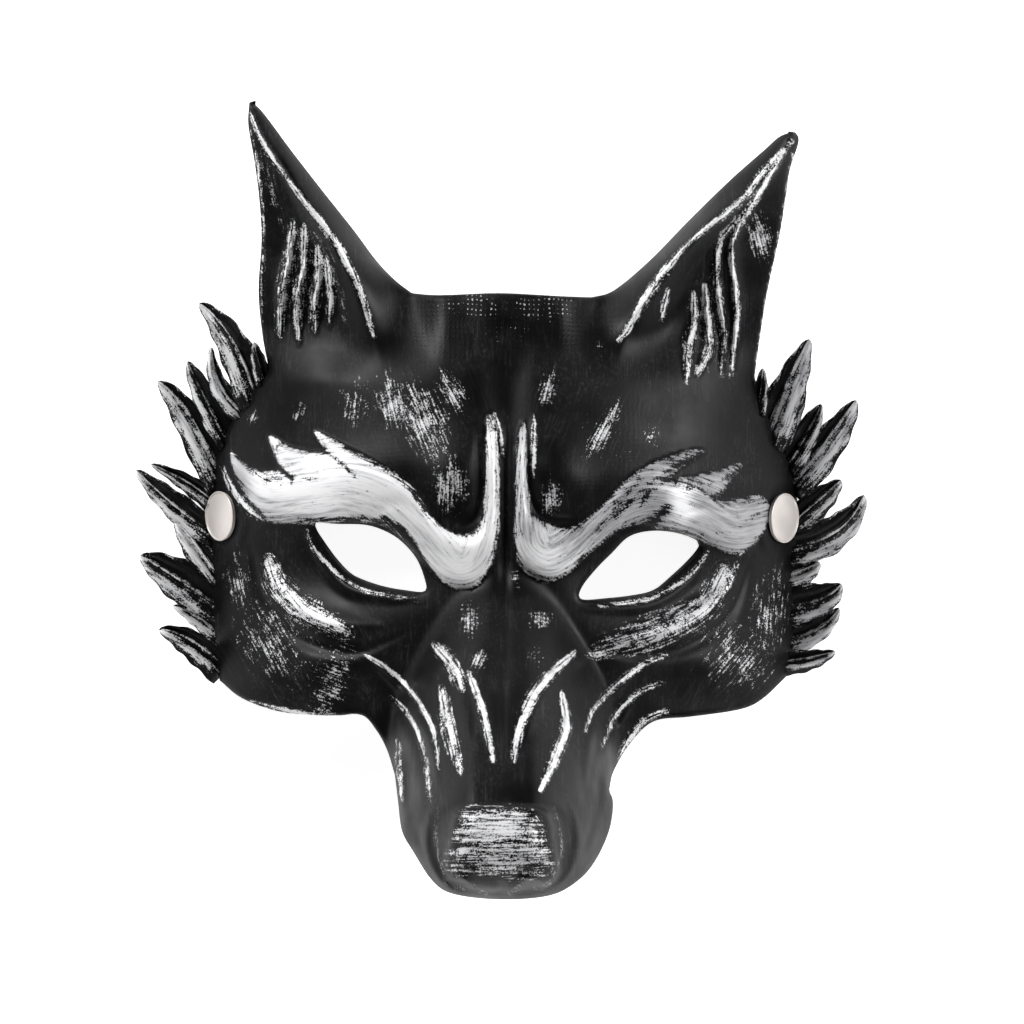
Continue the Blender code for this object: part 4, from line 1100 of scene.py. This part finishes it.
@dataclass
class FurFringe:
    """The locks along one side: leaves with a silvered ridge and a dark hollow.

    The outline gives a lock's half width along it, as shares of its length and of its named half.
    """

    side: Side
    form: WolfForm
    locks: list[FurLock]
    thickness: float = 0.0019
    crown: float = 0.0017
    hollow: float = 0.0011
    root_depth: float = 0.0024
    outline: tuple[Point, ...] = (
        (0, 1.15), (0.2, 1.20), (0.45, 1.08), (0.65, 0.86), (0.82, 0.58), (0.93, 0.36), (0.98, 0.20),
        (1.0, 0.04),
    )
    root_stretch: float = 0.22
    root_taper: float = 0.04
    tip_taper: float = 0.16
    floor_gap: float = 0.0012
    facets: tuple[int, int] = (16, 34)
    snap_room: tuple[float, float] = (18, 29)

    @property
    def dull(self) -> float:
        """How dull this side's silver is."""
        return 0.28 if self.side is Side.LEFT else 0.62

    def leaf(self, lock: FurLock, number: int) -> tuple[bpy.types.Mesh, np.ndarray, np.ndarray]:
        """Makes one lock: a lens of a leaf, its upper and lower half meeting at the edge.

        Args:
            lock: The lock.
            number: Its place in the row, which varies it a little.

        Returns:
            The mesh, and its vertices' silver and brush coordinates.
        """
        chart = self.form.chart
        work = bmesh.new()
        bmesh.ops.create_grid(work, x_segments=self.facets[0], y_segments=self.facets[1], size=0.5)
        flat = np.array([v.co[:2] for v in work.verts])
        u, t = flat[:, 0] * 2, flat[:, 1] + 0.5
        start, bend, tip = (np.array(p, float) for p in (lock.root, lock.bend, lock.tip))
        start = start + self.root_stretch * (start - bend)
        knot = 2 * bend - (start + tip) / 2
        middle = ((1 - t) ** 2)[:, None] * start + (2 * t * (1 - t))[:, None] * knot + (t * t)[:, None] * tip
        ahead = (2 * (1 - t))[:, None] * (knot - start) + (2 * t)[:, None] * (tip - knot)
        sideways = self.side.sign * np.stack([-ahead[:, 1], ahead[:, 0]], axis=1)
        sideways = sideways / np.maximum(np.hypot(*ahead.T)[:, None], 1e-9)
        shares, widths = np.array(self.outline).T
        ragged = 1 + 0.06 * np.sin(23 * t + 5 * number) * np.abs(u)
        half = lock.half * np.interp(t, shares, widths) * ragged
        at = middle + sideways * (half * u)[:, None]
        snap = np.array(self.form.snaps[self.side], float)
        near = np.hypot(*((at - snap) / self.snap_room).T)
        at = snap + (at - snap) * np.maximum(1, 1 / np.maximum(near, 0.2))[:, None]
        root = float(self.form.height(np.array(lock.root[0]), np.array(lock.root[1]))) - self.root_depth
        root = max(root, self.thickness + self.floor_gap)
        x, y = chart.place(at[:, 0], at[:, 1])
        shift = 0.16 * math.sin(2.3 * number + 1)
        body = np.sqrt(np.clip(1 - u * u, 0, 1)) * np.clip((1 - t) / self.tip_taper, 0, 1) ** 0.5
        body = body * np.clip(t / self.root_taper, 0, 1) ** 0.5
        ridge = hill((u - 0.50 - shift) / 0.34)
        line = hill((u + 0.10 - shift) / 0.10)
        dent = hill((u + 0.34 - shift) / 0.26)
        base = root + lock.lift * t
        top = base + body * (self.crown * (0.5 + ridge + 0.5 * line) - self.hollow * dent)
        under = base - body * self.thickness
        whole = bmesh.new()
        for heights, upward in ((top, True), (under, False)):
            for vert, spot in zip(work.verts, np.stack([x, y, heights], axis=1)):
                vert.co = spot
            face_sheet(work, upward)
            half_leaf = bpy.data.meshes.new("half_leaf")
            work.to_mesh(half_leaf)
            whole.from_mesh(half_leaf)
            bpy.data.meshes.remove(half_leaf)
        work.free()
        full = ((number * 7) % 5) / 4
        silver = 0.78 * hill((u - 0.55 - shift) / (0.28 + 0.18 * full)) + 0.60 * line
        silver = silver + 0.42 * hill((u + 0.96) / 0.10) + 0.14 * full - 0.20 * dent
        silver = silver + 0.35 * ease((t - 0.72) / 0.22) * hill(u / 0.9)
        silver = silver * ease((t + 0.05) / 0.30)
        run = np.hypot(*(tip - start))
        flow = np.stack([t * run, u * half, np.full(t.shape, 60.0 * (number + 1))], axis=1) * chart.unit
        bare = np.zeros(t.shape)
        silver = np.concatenate([np.maximum(silver, 0), bare])
        return mesh_from(whole, "lock"), silver, np.concatenate([flow, np.zeros(flow.shape)])

    def build(self, finish: bpy.types.Material) -> bpy.types.Object:
        """Builds all the locks of this side as one piece.

        Args:
            finish: The painted rubber.

        Returns:
            The piece.
        """
        work = bmesh.new()
        silver, flow = [], []
        for number, lock in enumerate(self.locks):
            solid, lock_silver, lock_flow = self.leaf(lock, number)
            work.from_mesh(solid)
            silver.append(lock_silver)
            flow.append(lock_flow)
            bpy.data.meshes.remove(solid)
        for vert in work.verts:
            vert.co.z = max(vert.co.z, 0)
        mesh = mesh_from(work, "fur_" + self.side.value)
        bare = np.zeros(len(mesh.vertices))
        store(
            mesh, silver=np.concatenate(silver), flow=np.concatenate(flow), weave=bare, dull=bare + self.dull
        )
        piece = add_piece("fur_" + self.side.value, mesh, finish)
        mesh.set_sharp_from_angle(angle=RUBBER_EDGE)
        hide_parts("mask_shell")
        return piece


@dataclass
class TempleSnap:
    """A pressed metal cap on the temple, and the stud behind that holds it."""

    side: Side
    form: WolfForm
    radius: float = 0.0075
    thickness: float = 0.0012
    lip: float = 0.0005
    sunk: float = 0.00022
    clearance: float = 0.0003
    shank: float = 0.0020
    free_end: float = 0.0030
    wall: float = 0.0022
    flange: float = 0.0055
    flange_thickness: float = 0.0008
    stud: float = 0.0037
    neck: float = 0.0033
    stud_height: float = 0.0034
    bevel: float = 0.0003
    small_bevel: float = 0.0002
    end_bevel: float = 0.0004
    turns: int = 72

    def turned(self, name: str, profile: list[Point], finish: bpy.types.Material) -> bpy.types.Object:
        """Spins a profile about the snap's axis and stands it on its seat.

        Args:
            name: The piece's name.
            profile: Radius and height from top to bottom; closed when it starts off the axis.
            finish: Its metal.

        Returns:
            The piece.
        """
        work = bmesh.new()
        verts = [work.verts.new((radius, 0, height)) for radius, height in profile]
        edges = [work.edges.new(pair) for pair in zip(verts, verts[1:])]
        if profile[0][0] > 0:
            edges.append(work.edges.new((verts[-1], verts[0])))
        bmesh.ops.spin(
            work, geom=verts + edges, cent=(0, 0, 0), axis=(0, 0, 1), angle=2 * math.pi, steps=self.turns,
            use_merge=True,
        )
        bmesh.ops.remove_doubles(work, verts=work.verts, dist=0.000005)
        bmesh.ops.recalc_face_normals(work, faces=work.faces)
        middle, out = self.form.seat(self.side)
        bmesh.ops.transform(work, matrix=out.to_track_quat("Z", "Y").to_matrix().to_4x4(), verts=work.verts)
        bmesh.ops.translate(work, vec=middle, verts=work.verts)
        piece = add_piece(name, mesh_from(work, name), finish)
        piece.data.set_sharp_from_angle(angle=METAL_EDGE)
        return piece

    def build(self, finish: bpy.types.Material) -> list[bpy.types.Object]:
        """Builds the cap and the stud.

        Args:
            finish: Their metal.

        Returns:
            The two pieces.
        """
        top = self.clearance + self.thickness
        round_lip = [
            (
                self.radius - self.lip / 2 + self.lip / 2 * math.sin(angle),
                top - self.lip / 2 + self.lip / 2 * math.cos(angle),
            )
            for angle in np.radians(np.arange(-90, 181, 22.5))
        ]
        dish = [
            (0, top - self.sunk * 0.6),
            (self.radius * 0.5, top - self.sunk * 0.8),
            (self.radius - self.lip * 1.7, top - self.sunk * 1.2),
            (self.radius - self.lip * 1.15, top - self.sunk * 1.4),
        ]
        under = [
            (self.radius - self.lip / 2, self.clearance),
            (self.shank, self.clearance),
            (self.shank, -self.wall - self.free_end + self.bevel),
            (self.shank - self.bevel, -self.wall - self.free_end),
            (0, -self.wall - self.free_end),
        ]
        cap = self.turned("temple_cap_" + self.side.value, dish + round_lip + under, finish)
        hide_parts("snap_cap_" + self.side.value)
        bore = self.shank + self.clearance
        face = -self.wall - self.clearance
        flange = face - self.flange_thickness
        end = flange - self.stud_height
        bulge = []
        for share in np.linspace(0, 1, 7):
            swell = (self.stud - self.neck) * math.sin(share * math.pi)
            bulge.append((self.neck + swell, flange + (end - flange) * (0.35 + 0.55 * share)))
        profile = [
            (bore, face),
            (self.flange - self.small_bevel, face),
            (self.flange, face - self.small_bevel),
            (self.flange, flange + self.small_bevel),
            (self.flange - self.small_bevel, flange),
            (self.neck + self.bevel, flange),
            (self.neck, flange - self.bevel),
            *bulge,
            (self.neck - self.end_bevel, end),
            (bore, end),
        ]
        stud = self.turned("temple_stud_" + self.side.value, profile, finish)
        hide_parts("snap_stud_" + self.side.value)
        return [cap, stud]


class NodeDesk:
    """Lays nodes of a shader or group and links them."""

    def __init__(self, tree: bpy.types.NodeTree) -> None:
        """Starts work on a node tree.

        Args:
            tree: The tree.
        """
        self.tree = tree
        self.column = 0

    def add(self, kind: str, settings: dict | None = None, **inputs: object) -> bpy.types.Node:
        """Adds a node.

        Args:
            kind: The node's type.
            settings: Its properties.
            **inputs: What its inputs get, as feed takes it.

        Returns:
            The node.
        """
        node = self.tree.nodes.new(kind)
        node.location = (self.column * 180, -60 * (self.column % 5))
        self.column += 1
        for name, value in (settings or {}).items():
            setattr(node, name, value)
        self.feed(node, **inputs)
        return node

    def feed(self, node: bpy.types.Node, **inputs: object) -> None:
        """Sets or links a node's inputs.

        Args:
            node: The node.
            **inputs: Values or sockets for its inputs, named with underscores, or i0, i1 by number.
        """
        for name, value in inputs.items():
            numbered = name[0] == "i" and name[1:].isdigit()
            socket = node.inputs[int(name[1:])] if numbered else node.inputs[name.replace("_", " ")]
            if isinstance(value, Socket):
                self.tree.links.new(value, socket)
            else:
                socket.default_value = value

    def maths(self, operation: str, a: object, b: object = 0.0, c: object = 0.0) -> Socket:
        """Adds a Math node and gives its result."""
        return self.add("ShaderNodeMath", {"operation": operation}, i0=a, i1=b, i2=c).outputs[0]

    def noise(self, vector: Socket, scale: float, detail: float, rough: float = 0.55) -> Socket:
        """Adds a Noise Texture and gives its value."""
        wanted = {"Vector": vector, "Scale": scale, "Detail": detail, "Roughness": rough}
        return self.add("ShaderNodeTexNoise", None, **wanted).outputs["Fac"]

    def stretched(self, vector: Socket, scale: Triple) -> Socket:
        """Adds a Mapping node that only scales and gives its vector."""
        return self.add("ShaderNodeMapping", None, Vector=vector, Scale=scale).outputs["Vector"]

    def between(
        self, value: object, low: float, high: float, to_low: float = 0, to_high: float = 1
    ) -> Socket:
        """Adds a smooth Map Range and gives its result."""
        smooth = {"interpolation_type": "SMOOTHSTEP"}
        node = self.add("ShaderNodeMapRange", smooth, i0=value, i1=low, i2=high, i3=to_low, i4=to_high)
        return node.outputs[0]

    def group(self, tree: bpy.types.NodeTree, **inputs: object) -> bpy.types.NodeOutputs:
        """Adds a node group and gives its outputs."""
        return self.add("ShaderNodeGroup", {"node_tree": tree}, **inputs).outputs

    def stored(self, name: str, output: str = "Fac") -> Socket:
        """Adds an Attribute node for paint kept on the mesh and gives its output."""
        return self.add("ShaderNodeAttribute", {"attribute_name": name}).outputs[output]

    def mix(self, share: object, a: object, b: object) -> Socket:
        """Adds a colour mix and gives its result."""
        node = self.add("ShaderNodeMix", {"data_type": "RGBA"}, i0=share, i6=a, i7=b)
        return node.outputs[2]


def new_group(
    name: str, vectors: tuple[str, ...], numbers: dict[str, float], results: tuple[str, ...]
) -> bpy.types.NodeTree:
    """Starts a node group with its sockets.

    Args:
        name: The group's name.
        vectors: Its vector inputs.
        numbers: Its number inputs, with what they are when nothing is linked.
        results: Its outputs.

    Returns:
        The group.
    """
    tree = bpy.data.node_groups.new(name, "ShaderNodeTree")
    for label in vectors:
        tree.interface.new_socket(label, in_out="INPUT", socket_type="NodeSocketVector")
    for label, value in numbers.items():
        number = tree.interface.new_socket(label, in_out="INPUT", socket_type="NodeSocketFloat")
        number.default_value = value
    for label in results:
        tree.interface.new_socket(label, in_out="OUTPUT", socket_type="NodeSocketFloat")
    return tree


def new_material(name: str) -> tuple[bpy.types.Material, NodeDesk, bpy.types.Node]:
    """Starts a material.

    Args:
        name: The material's name.

    Returns:
        The material, a desk for its nodes, and its shader.
    """
    made = bpy.data.materials.new(name)
    made.use_nodes = True
    return made, NodeDesk(made.node_tree), made.node_tree.nodes["Principled BSDF"]


@dataclass(frozen=True)
class GrainGroup:
    """A fine surface grain that the rubber and the metal share."""

    name: str = "surface_grain"

    def build(self) -> bpy.types.NodeTree:
        """Builds the group: grain height and blotches from Object coordinates.

        Returns:
            The node group.
        """
        tree = new_group(self.name, ("Vector",), {"Fine": 2600.0, "Broad": 70.0}, ("Grain", "Blotch"))
        desk = NodeDesk(tree)
        given = desk.add("NodeGroupInput").outputs
        spot = given["Vector"]
        fine = desk.add("ShaderNodeTexNoise", None, Vector=spot, Scale=given["Fine"], Detail=3.0)
        broad = desk.add("ShaderNodeTexNoise", None, Vector=spot, Scale=given["Broad"], Detail=5.0)
        desk.add("NodeGroupOutput", None, Grain=fine.outputs["Fac"], Blotch=broad.outputs["Fac"])
        return tree


@dataclass(frozen=True)
class DryBrushGroup:
    """Silver dragged over the relief with a dry brush: broken streaks, or a weave that shows through."""

    name: str = "dry_brush"
    streak_scale: Triple = (110.0, 1300.0, 3.0)
    wide_scale: Triple = (70.0, 330.0, 3.0)
    grit_scale: float = 1900.0
    patch_scale: float = 420.0
    thread: float = 4400.0
    wander: float = 14.0
    warp_scale: Triple = (900.0, 90.0, 90.0)
    weft_scale: Triple = (90.0, 900.0, 90.0)

    def build(self) -> bpy.types.NodeTree:
        """Builds the group: how much silver covers each spot, and how it varies.

        Returns:
            The node group.
        """
        tree = new_group(
            self.name, ("Object", "Flow"), {"Silver": 0.0, "Weave": 0.0}, ("Cover", "Shade", "Thread")
        )
        desk = NodeDesk(tree)
        given = desk.add("NodeGroupInput").outputs
        spot, flow, silver, weave = (given[label] for label in ("Object", "Flow", "Silver", "Weave"))
        trail = desk.noise(desk.stretched(flow, self.streak_scale), 1.0, 5.0, 0.65)
        streak = desk.between(trail, 0.30, 0.70)
        wide = desk.noise(desk.stretched(flow, self.wide_scale), 1.0, 3.0)
        grit = desk.between(desk.noise(spot, self.grit_scale, 4.0, 0.75), 0.30, 0.70)
        drift = desk.noise(spot, 120.0, 2.0)
        parts = desk.add("ShaderNodeSeparateXYZ", None, Vector=spot).outputs
        wander = desk.maths("MULTIPLY", drift, self.wander)
        warp = desk.maths("SINE", desk.maths("MULTIPLY_ADD", parts["X"], self.thread, wander))
        weft = desk.maths("SINE", desk.maths("MULTIPLY_ADD", parts["Y"], self.thread, wander))
        long_warp = desk.noise(desk.stretched(spot, self.warp_scale), 1.0, 2.0)
        long_weft = desk.noise(desk.stretched(spot, self.weft_scale), 1.0, 2.0)
        warp = desk.maths("MULTIPLY_ADD", warp, 0.30, long_warp)
        weft = desk.maths("MULTIPLY_ADD", weft, 0.30, long_weft)
        crossing = desk.maths("MULTIPLY", desk.maths("ADD", warp, weft), 0.5)
        thread = desk.between(crossing, 0.46, 0.88)
        woven = desk.add("ShaderNodeMix", {"data_type": "FLOAT"}, i0=weave, i2=streak, i3=thread).outputs[0]
        reach = desk.maths("MULTIPLY_ADD", desk.maths("SUBTRACT", woven, 0.5), 0.62, silver)
        # Specks break up the brushed silver more than the woven silver.
        unwoven = desk.maths("MULTIPLY_ADD", weave, -0.55, 1.0)
        patch = desk.between(desk.noise(spot, self.patch_scale, 3.0), 0.30, 0.70)
        specks = desk.maths("MULTIPLY", desk.maths("SUBTRACT", grit, 0.5), 0.60)
        specks = desk.maths("MULTIPLY_ADD", desk.maths("SUBTRACT", patch, 0.5), 0.32, specks)
        reach = desk.maths("MULTIPLY_ADD", specks, unwoven, reach)
        touched = desk.between(silver, 0.03, 0.14)
        cover = desk.maths("MULTIPLY", desk.between(reach, 0.46, 0.64), touched)
        shade = desk.maths("MULTIPLY_ADD", streak, 0.45, desk.maths("MULTIPLY", wide, 0.55))
        desk.add("NodeGroupOutput", None, Cover=cover, Shade=shade, Thread=thread)
        return tree


@dataclass(frozen=True)
class PaintedRubber:
    """Satin black rubber with dry-brushed silver."""

    name: str = "painted_rubber"
    black: Colour = (0.0014, 0.0014, 0.0017, 1)
    worn_black: Colour = (0.0042, 0.0042, 0.0049, 1)
    scuffed: Colour = (0.048, 0.048, 0.050, 1)
    silver: Colour = (0.87, 0.87, 0.88, 1)
    dull_silver: Colour = (0.24, 0.24, 0.25, 1)
    scuff_scale: Triple = (1500.0, 700.0, 900.0)
    bump_depth: float = 0.00007
    ior: float = 1.23

    def build(self, grain: bpy.types.NodeTree, brush: bpy.types.NodeTree) -> bpy.types.Material:
        """Builds the material.

        Args:
            grain: The shared grain group.
            brush: The dry-brush group.

        Returns:
            The material.
        """
        made, desk, shader = new_material(self.name)
        spot = desk.add("ShaderNodeTexCoord").outputs["Object"]
        silver, weave, dull = (desk.stored(name) for name in ("silver", "weave", "dull"))
        flow = desk.stored("flow", "Vector")
        fine = desk.group(grain, Vector=spot, Fine=2600.0, Broad=70.0)
        dry = desk.group(brush, Object=spot, Flow=flow, Silver=silver, Weave=weave)
        cover, shade, thread = (dry[name] for name in ("Cover", "Shade", "Thread"))
        blotch = desk.between(fine["Blotch"], 0.35, 0.70)
        rubber = desk.mix(blotch, self.black, self.worn_black)
        scrape = desk.noise(desk.stretched(spot, self.scuff_scale), 1.0, 6.0, 0.75)
        scuff = desk.maths("MULTIPLY", desk.between(scrape, 0.50, 0.80), blotch)
        rubber = desk.mix(scuff, rubber, self.scuffed)
        faint = desk.between(blotch, 0.2, 1.0, 0.15, 0.55)
        hairs = desk.maths("MULTIPLY", desk.between(shade, 0.52, 0.86), faint)
        rubber = desk.mix(hairs, rubber, self.scuffed)
        bright = desk.maths("SUBTRACT", desk.between(shade, 0.15, 0.70, 0.55, 1.05), dull)
        metal = desk.mix(desk.between(bright, 0.0, 1.0), self.dull_silver, self.silver)
        rough = desk.between(fine["Blotch"], 0.3, 0.7, 0.38, 0.52)
        rough = desk.maths("MULTIPLY_ADD", cover, 0.06, rough)
        height = desk.maths("MULTIPLY_ADD", cover, 0.5, desk.maths("MULTIPLY", fine["Grain"], 0.5))
        height = desk.maths("MULTIPLY_ADD", fine["Blotch"], 3.0, height)
        height = desk.maths("MULTIPLY_ADD", desk.maths("MULTIPLY", thread, weave), 0.8, height)
        bump = desk.add("ShaderNodeBump", None, Height=height, Strength=0.5, Distance=self.bump_depth)
        desk.feed(
            shader, Base_Color=desk.mix(cover, rubber, metal), Roughness=rough,
            Metallic=desk.maths("MULTIPLY", cover, 0.22), Normal=bump.outputs["Normal"], IOR=self.ior,
        )
        return made


@dataclass(frozen=True)
class SnapMetal:
    """Pale warm metal of the snaps, faintly brushed."""

    name: str = "snap_metal"
    pale: Colour = (0.70, 0.65, 0.62, 1)
    dull: Colour = (0.685, 0.635, 0.605, 1)

    def build(self, grain: bpy.types.NodeTree) -> bpy.types.Material:
        """Builds the material.

        Args:
            grain: The shared grain group.

        Returns:
            The material.
        """
        made, desk, shader = new_material(self.name)
        spot = desk.add("ShaderNodeTexCoord").outputs["Object"]
        fine = desk.group(grain, Vector=spot, Fine=3200.0, Broad=420.0)
        tone = desk.between(fine["Blotch"], 0.40, 0.72)
        rough = desk.between(fine["Blotch"], 0.3, 0.7, 0.33, 0.37)
        bump = desk.add("ShaderNodeBump", None, Height=fine["Grain"], Strength=0.2, Distance=0.00002)
        desk.feed(
            shader, Base_Color=desk.mix(tone, self.pale, self.dull), Roughness=rough, Metallic=0.3,
            Normal=bump.outputs["Normal"],
        )
        return made


@dataclass
class Studio:
    """A pale floor, soft light and the camera straight above the mask."""

    view_middle: tuple[float, float] = (0.0035, -0.0036)
    view_width: float = 0.3072
    focus_height: float = 0.045
    camera_height: float = 13.0
    sensor: float = 36.0
    floor_size: float = 8.0
    floor_gap: float = 0.0002
    floor_grey: Colour = (0.86, 0.86, 0.86, 1)
    floor_glow: float = 0.80
    air_light: float = 0.10
    lamp_size: float = 0.50

    def floor(self) -> bpy.types.Object:
        """Lays the floor.

        Returns:
            The floor.
        """
        made, desk, shader = new_material("floor_white")
        desk.feed(
            shader, Base_Color=self.floor_grey, Roughness=0.9, Emission_Color=WHITE,
            Emission_Strength=self.floor_glow,
        )
        work = bmesh.new()
        bmesh.ops.create_grid(work, x_segments=2, y_segments=2, size=self.floor_size / 2)
        bmesh.ops.translate(work, vec=(0, 0, -self.floor_gap), verts=work.verts)
        plane = bpy.data.objects.new("floor", mesh_from(work, "floor"))
        plane.data.materials.append(made)
        bpy.context.scene.collection.objects.link(plane)
        return plane

    def lamp(self, name: str, place: Triple, power: float) -> bpy.types.Object:
        """Hangs a soft square lamp that points at the mask.

        Args:
            name: The lamp's name.
            place: Where it hangs.
            power: Its power in watts.

        Returns:
            The lamp.
        """
        light = bpy.data.lights.new(name, "AREA")
        light.size = self.lamp_size
        light.energy = power
        lamp = bpy.data.objects.new(name, light)
        lamp.location = place
        lamp.rotation_euler = (-Vector(place)).to_track_quat("-Z", "Y").to_euler()
        bpy.context.scene.collection.objects.link(lamp)
        return lamp

    def build(self) -> None:
        """Sets up the floor, the light and the camera."""
        scene = bpy.context.scene
        self.floor()
        self.lamp("softbox_key", (-1.15, 1.00, 0.85), 30)
        self.lamp("softbox_fill", (1.30, 0.40, 0.75), 20)
        self.lamp("softbox_low", (0.15, -1.30, 0.60), 7)
        world = bpy.data.worlds.new("studio_air")
        world.use_nodes = True
        sky = world.node_tree.nodes["Background"]
        NodeDesk(world.node_tree).feed(sky, Color=WHITE, Strength=self.air_light)
        scene.world = world
        lens = bpy.data.cameras.new("front_view")
        lens.sensor_width = self.sensor
        lens.lens = self.sensor * (self.camera_height - self.focus_height) / self.view_width
        lens.clip_start = 0.1
        lens.clip_end = 100
        camera = bpy.data.objects.new("front_view", lens)
        camera.location = (*self.view_middle, self.camera_height)
        scene.collection.objects.link(camera)
        scene.camera = camera
        scene.view_settings.view_transform = "Standard"


LEFT_LOCKS = [
    FurLock((264, 382), (258, 362), (254, 342), 8, 0.004),
    FurLock((252, 396), (232, 344), (199, 303), 16, 0.007),
    FurLock((240, 412), (218, 385), (211, 347), 9, 0.002),
    FurLock((226, 436), (204, 396), (187, 361), 12, 0.006),
    FurLock((216, 478), (188, 420), (157, 381), 15, 0.003),
    FurLock((208, 500), (186, 483), (150, 464), 9, 0.006),
    FurLock((208, 532), (170, 502), (135, 470), 13, 0.002),
    FurLock((214, 578), (192, 545), (174, 522), 12, 0.001),
    FurLock((214, 606), (176, 578), (139, 556), 20, 0.005),
    FurLock((216, 634), (196, 618), (172, 606), 9, 0.001),
    FurLock((218, 668), (190, 644), (158, 630), 14, 0.004),
]
RIGHT_LOCKS = [
    FurLock((758, 412), (761, 392), (763, 368), 8, 0.004),
    FurLock((783, 444), (797, 414), (806, 389), 6, 0.002),
    FurLock((772, 436), (790, 388), (810, 339), 17, 0.007),
    FurLock((788, 462), (806, 434), (822, 404), 13, 0.003),
    FurLock((798, 482), (832, 440), (857, 400), 16, 0.006),
    FurLock((796, 522), (822, 500), (842, 480), 13, 0.002),
    FurLock((794, 546), (836, 532), (865, 495), 17, 0.006),
    FurLock((790, 578), (806, 572), (821, 563), 12, 0.002),
    FurLock((790, 606), (820, 600), (842, 584), 17, 0.004),
    FurLock((790, 640), (818, 630), (840, 608), 12, 0.001),
    FurLock((786, 664), (812, 660), (836, 652), 10, 0.003),
]


def main() -> None:
    """Builds the mask round its frame, then the studio."""
    logging.basicConfig(level=logging.INFO, format="%(message)s")
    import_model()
    chart = Chart()
    form = WolfForm(chart)
    relief = WolfRelief(form)
    grain = GrainGroup().build()
    rubber = PaintedRubber().build(grain, DryBrushGroup().build())
    metal = SnapMetal().build(grain)
    face = MouldedFace(form, relief, SilverPaint(relief)).build(rubber)
    LOG.info("%s: %d vertices", face.name, len(face.data.vertices))
    for side, locks in zip(Side, (LEFT_LOCKS, RIGHT_LOCKS)):
        fringe = FurFringe(side, form, locks).build(rubber)
        LOG.info("%s: %d locks", fringe.name, len(locks))
        for piece in TempleSnap(side, form).build(metal):
            LOG.info("%s: made", piece.name)
    Studio().build()


if __name__ == "__main__":
    main()
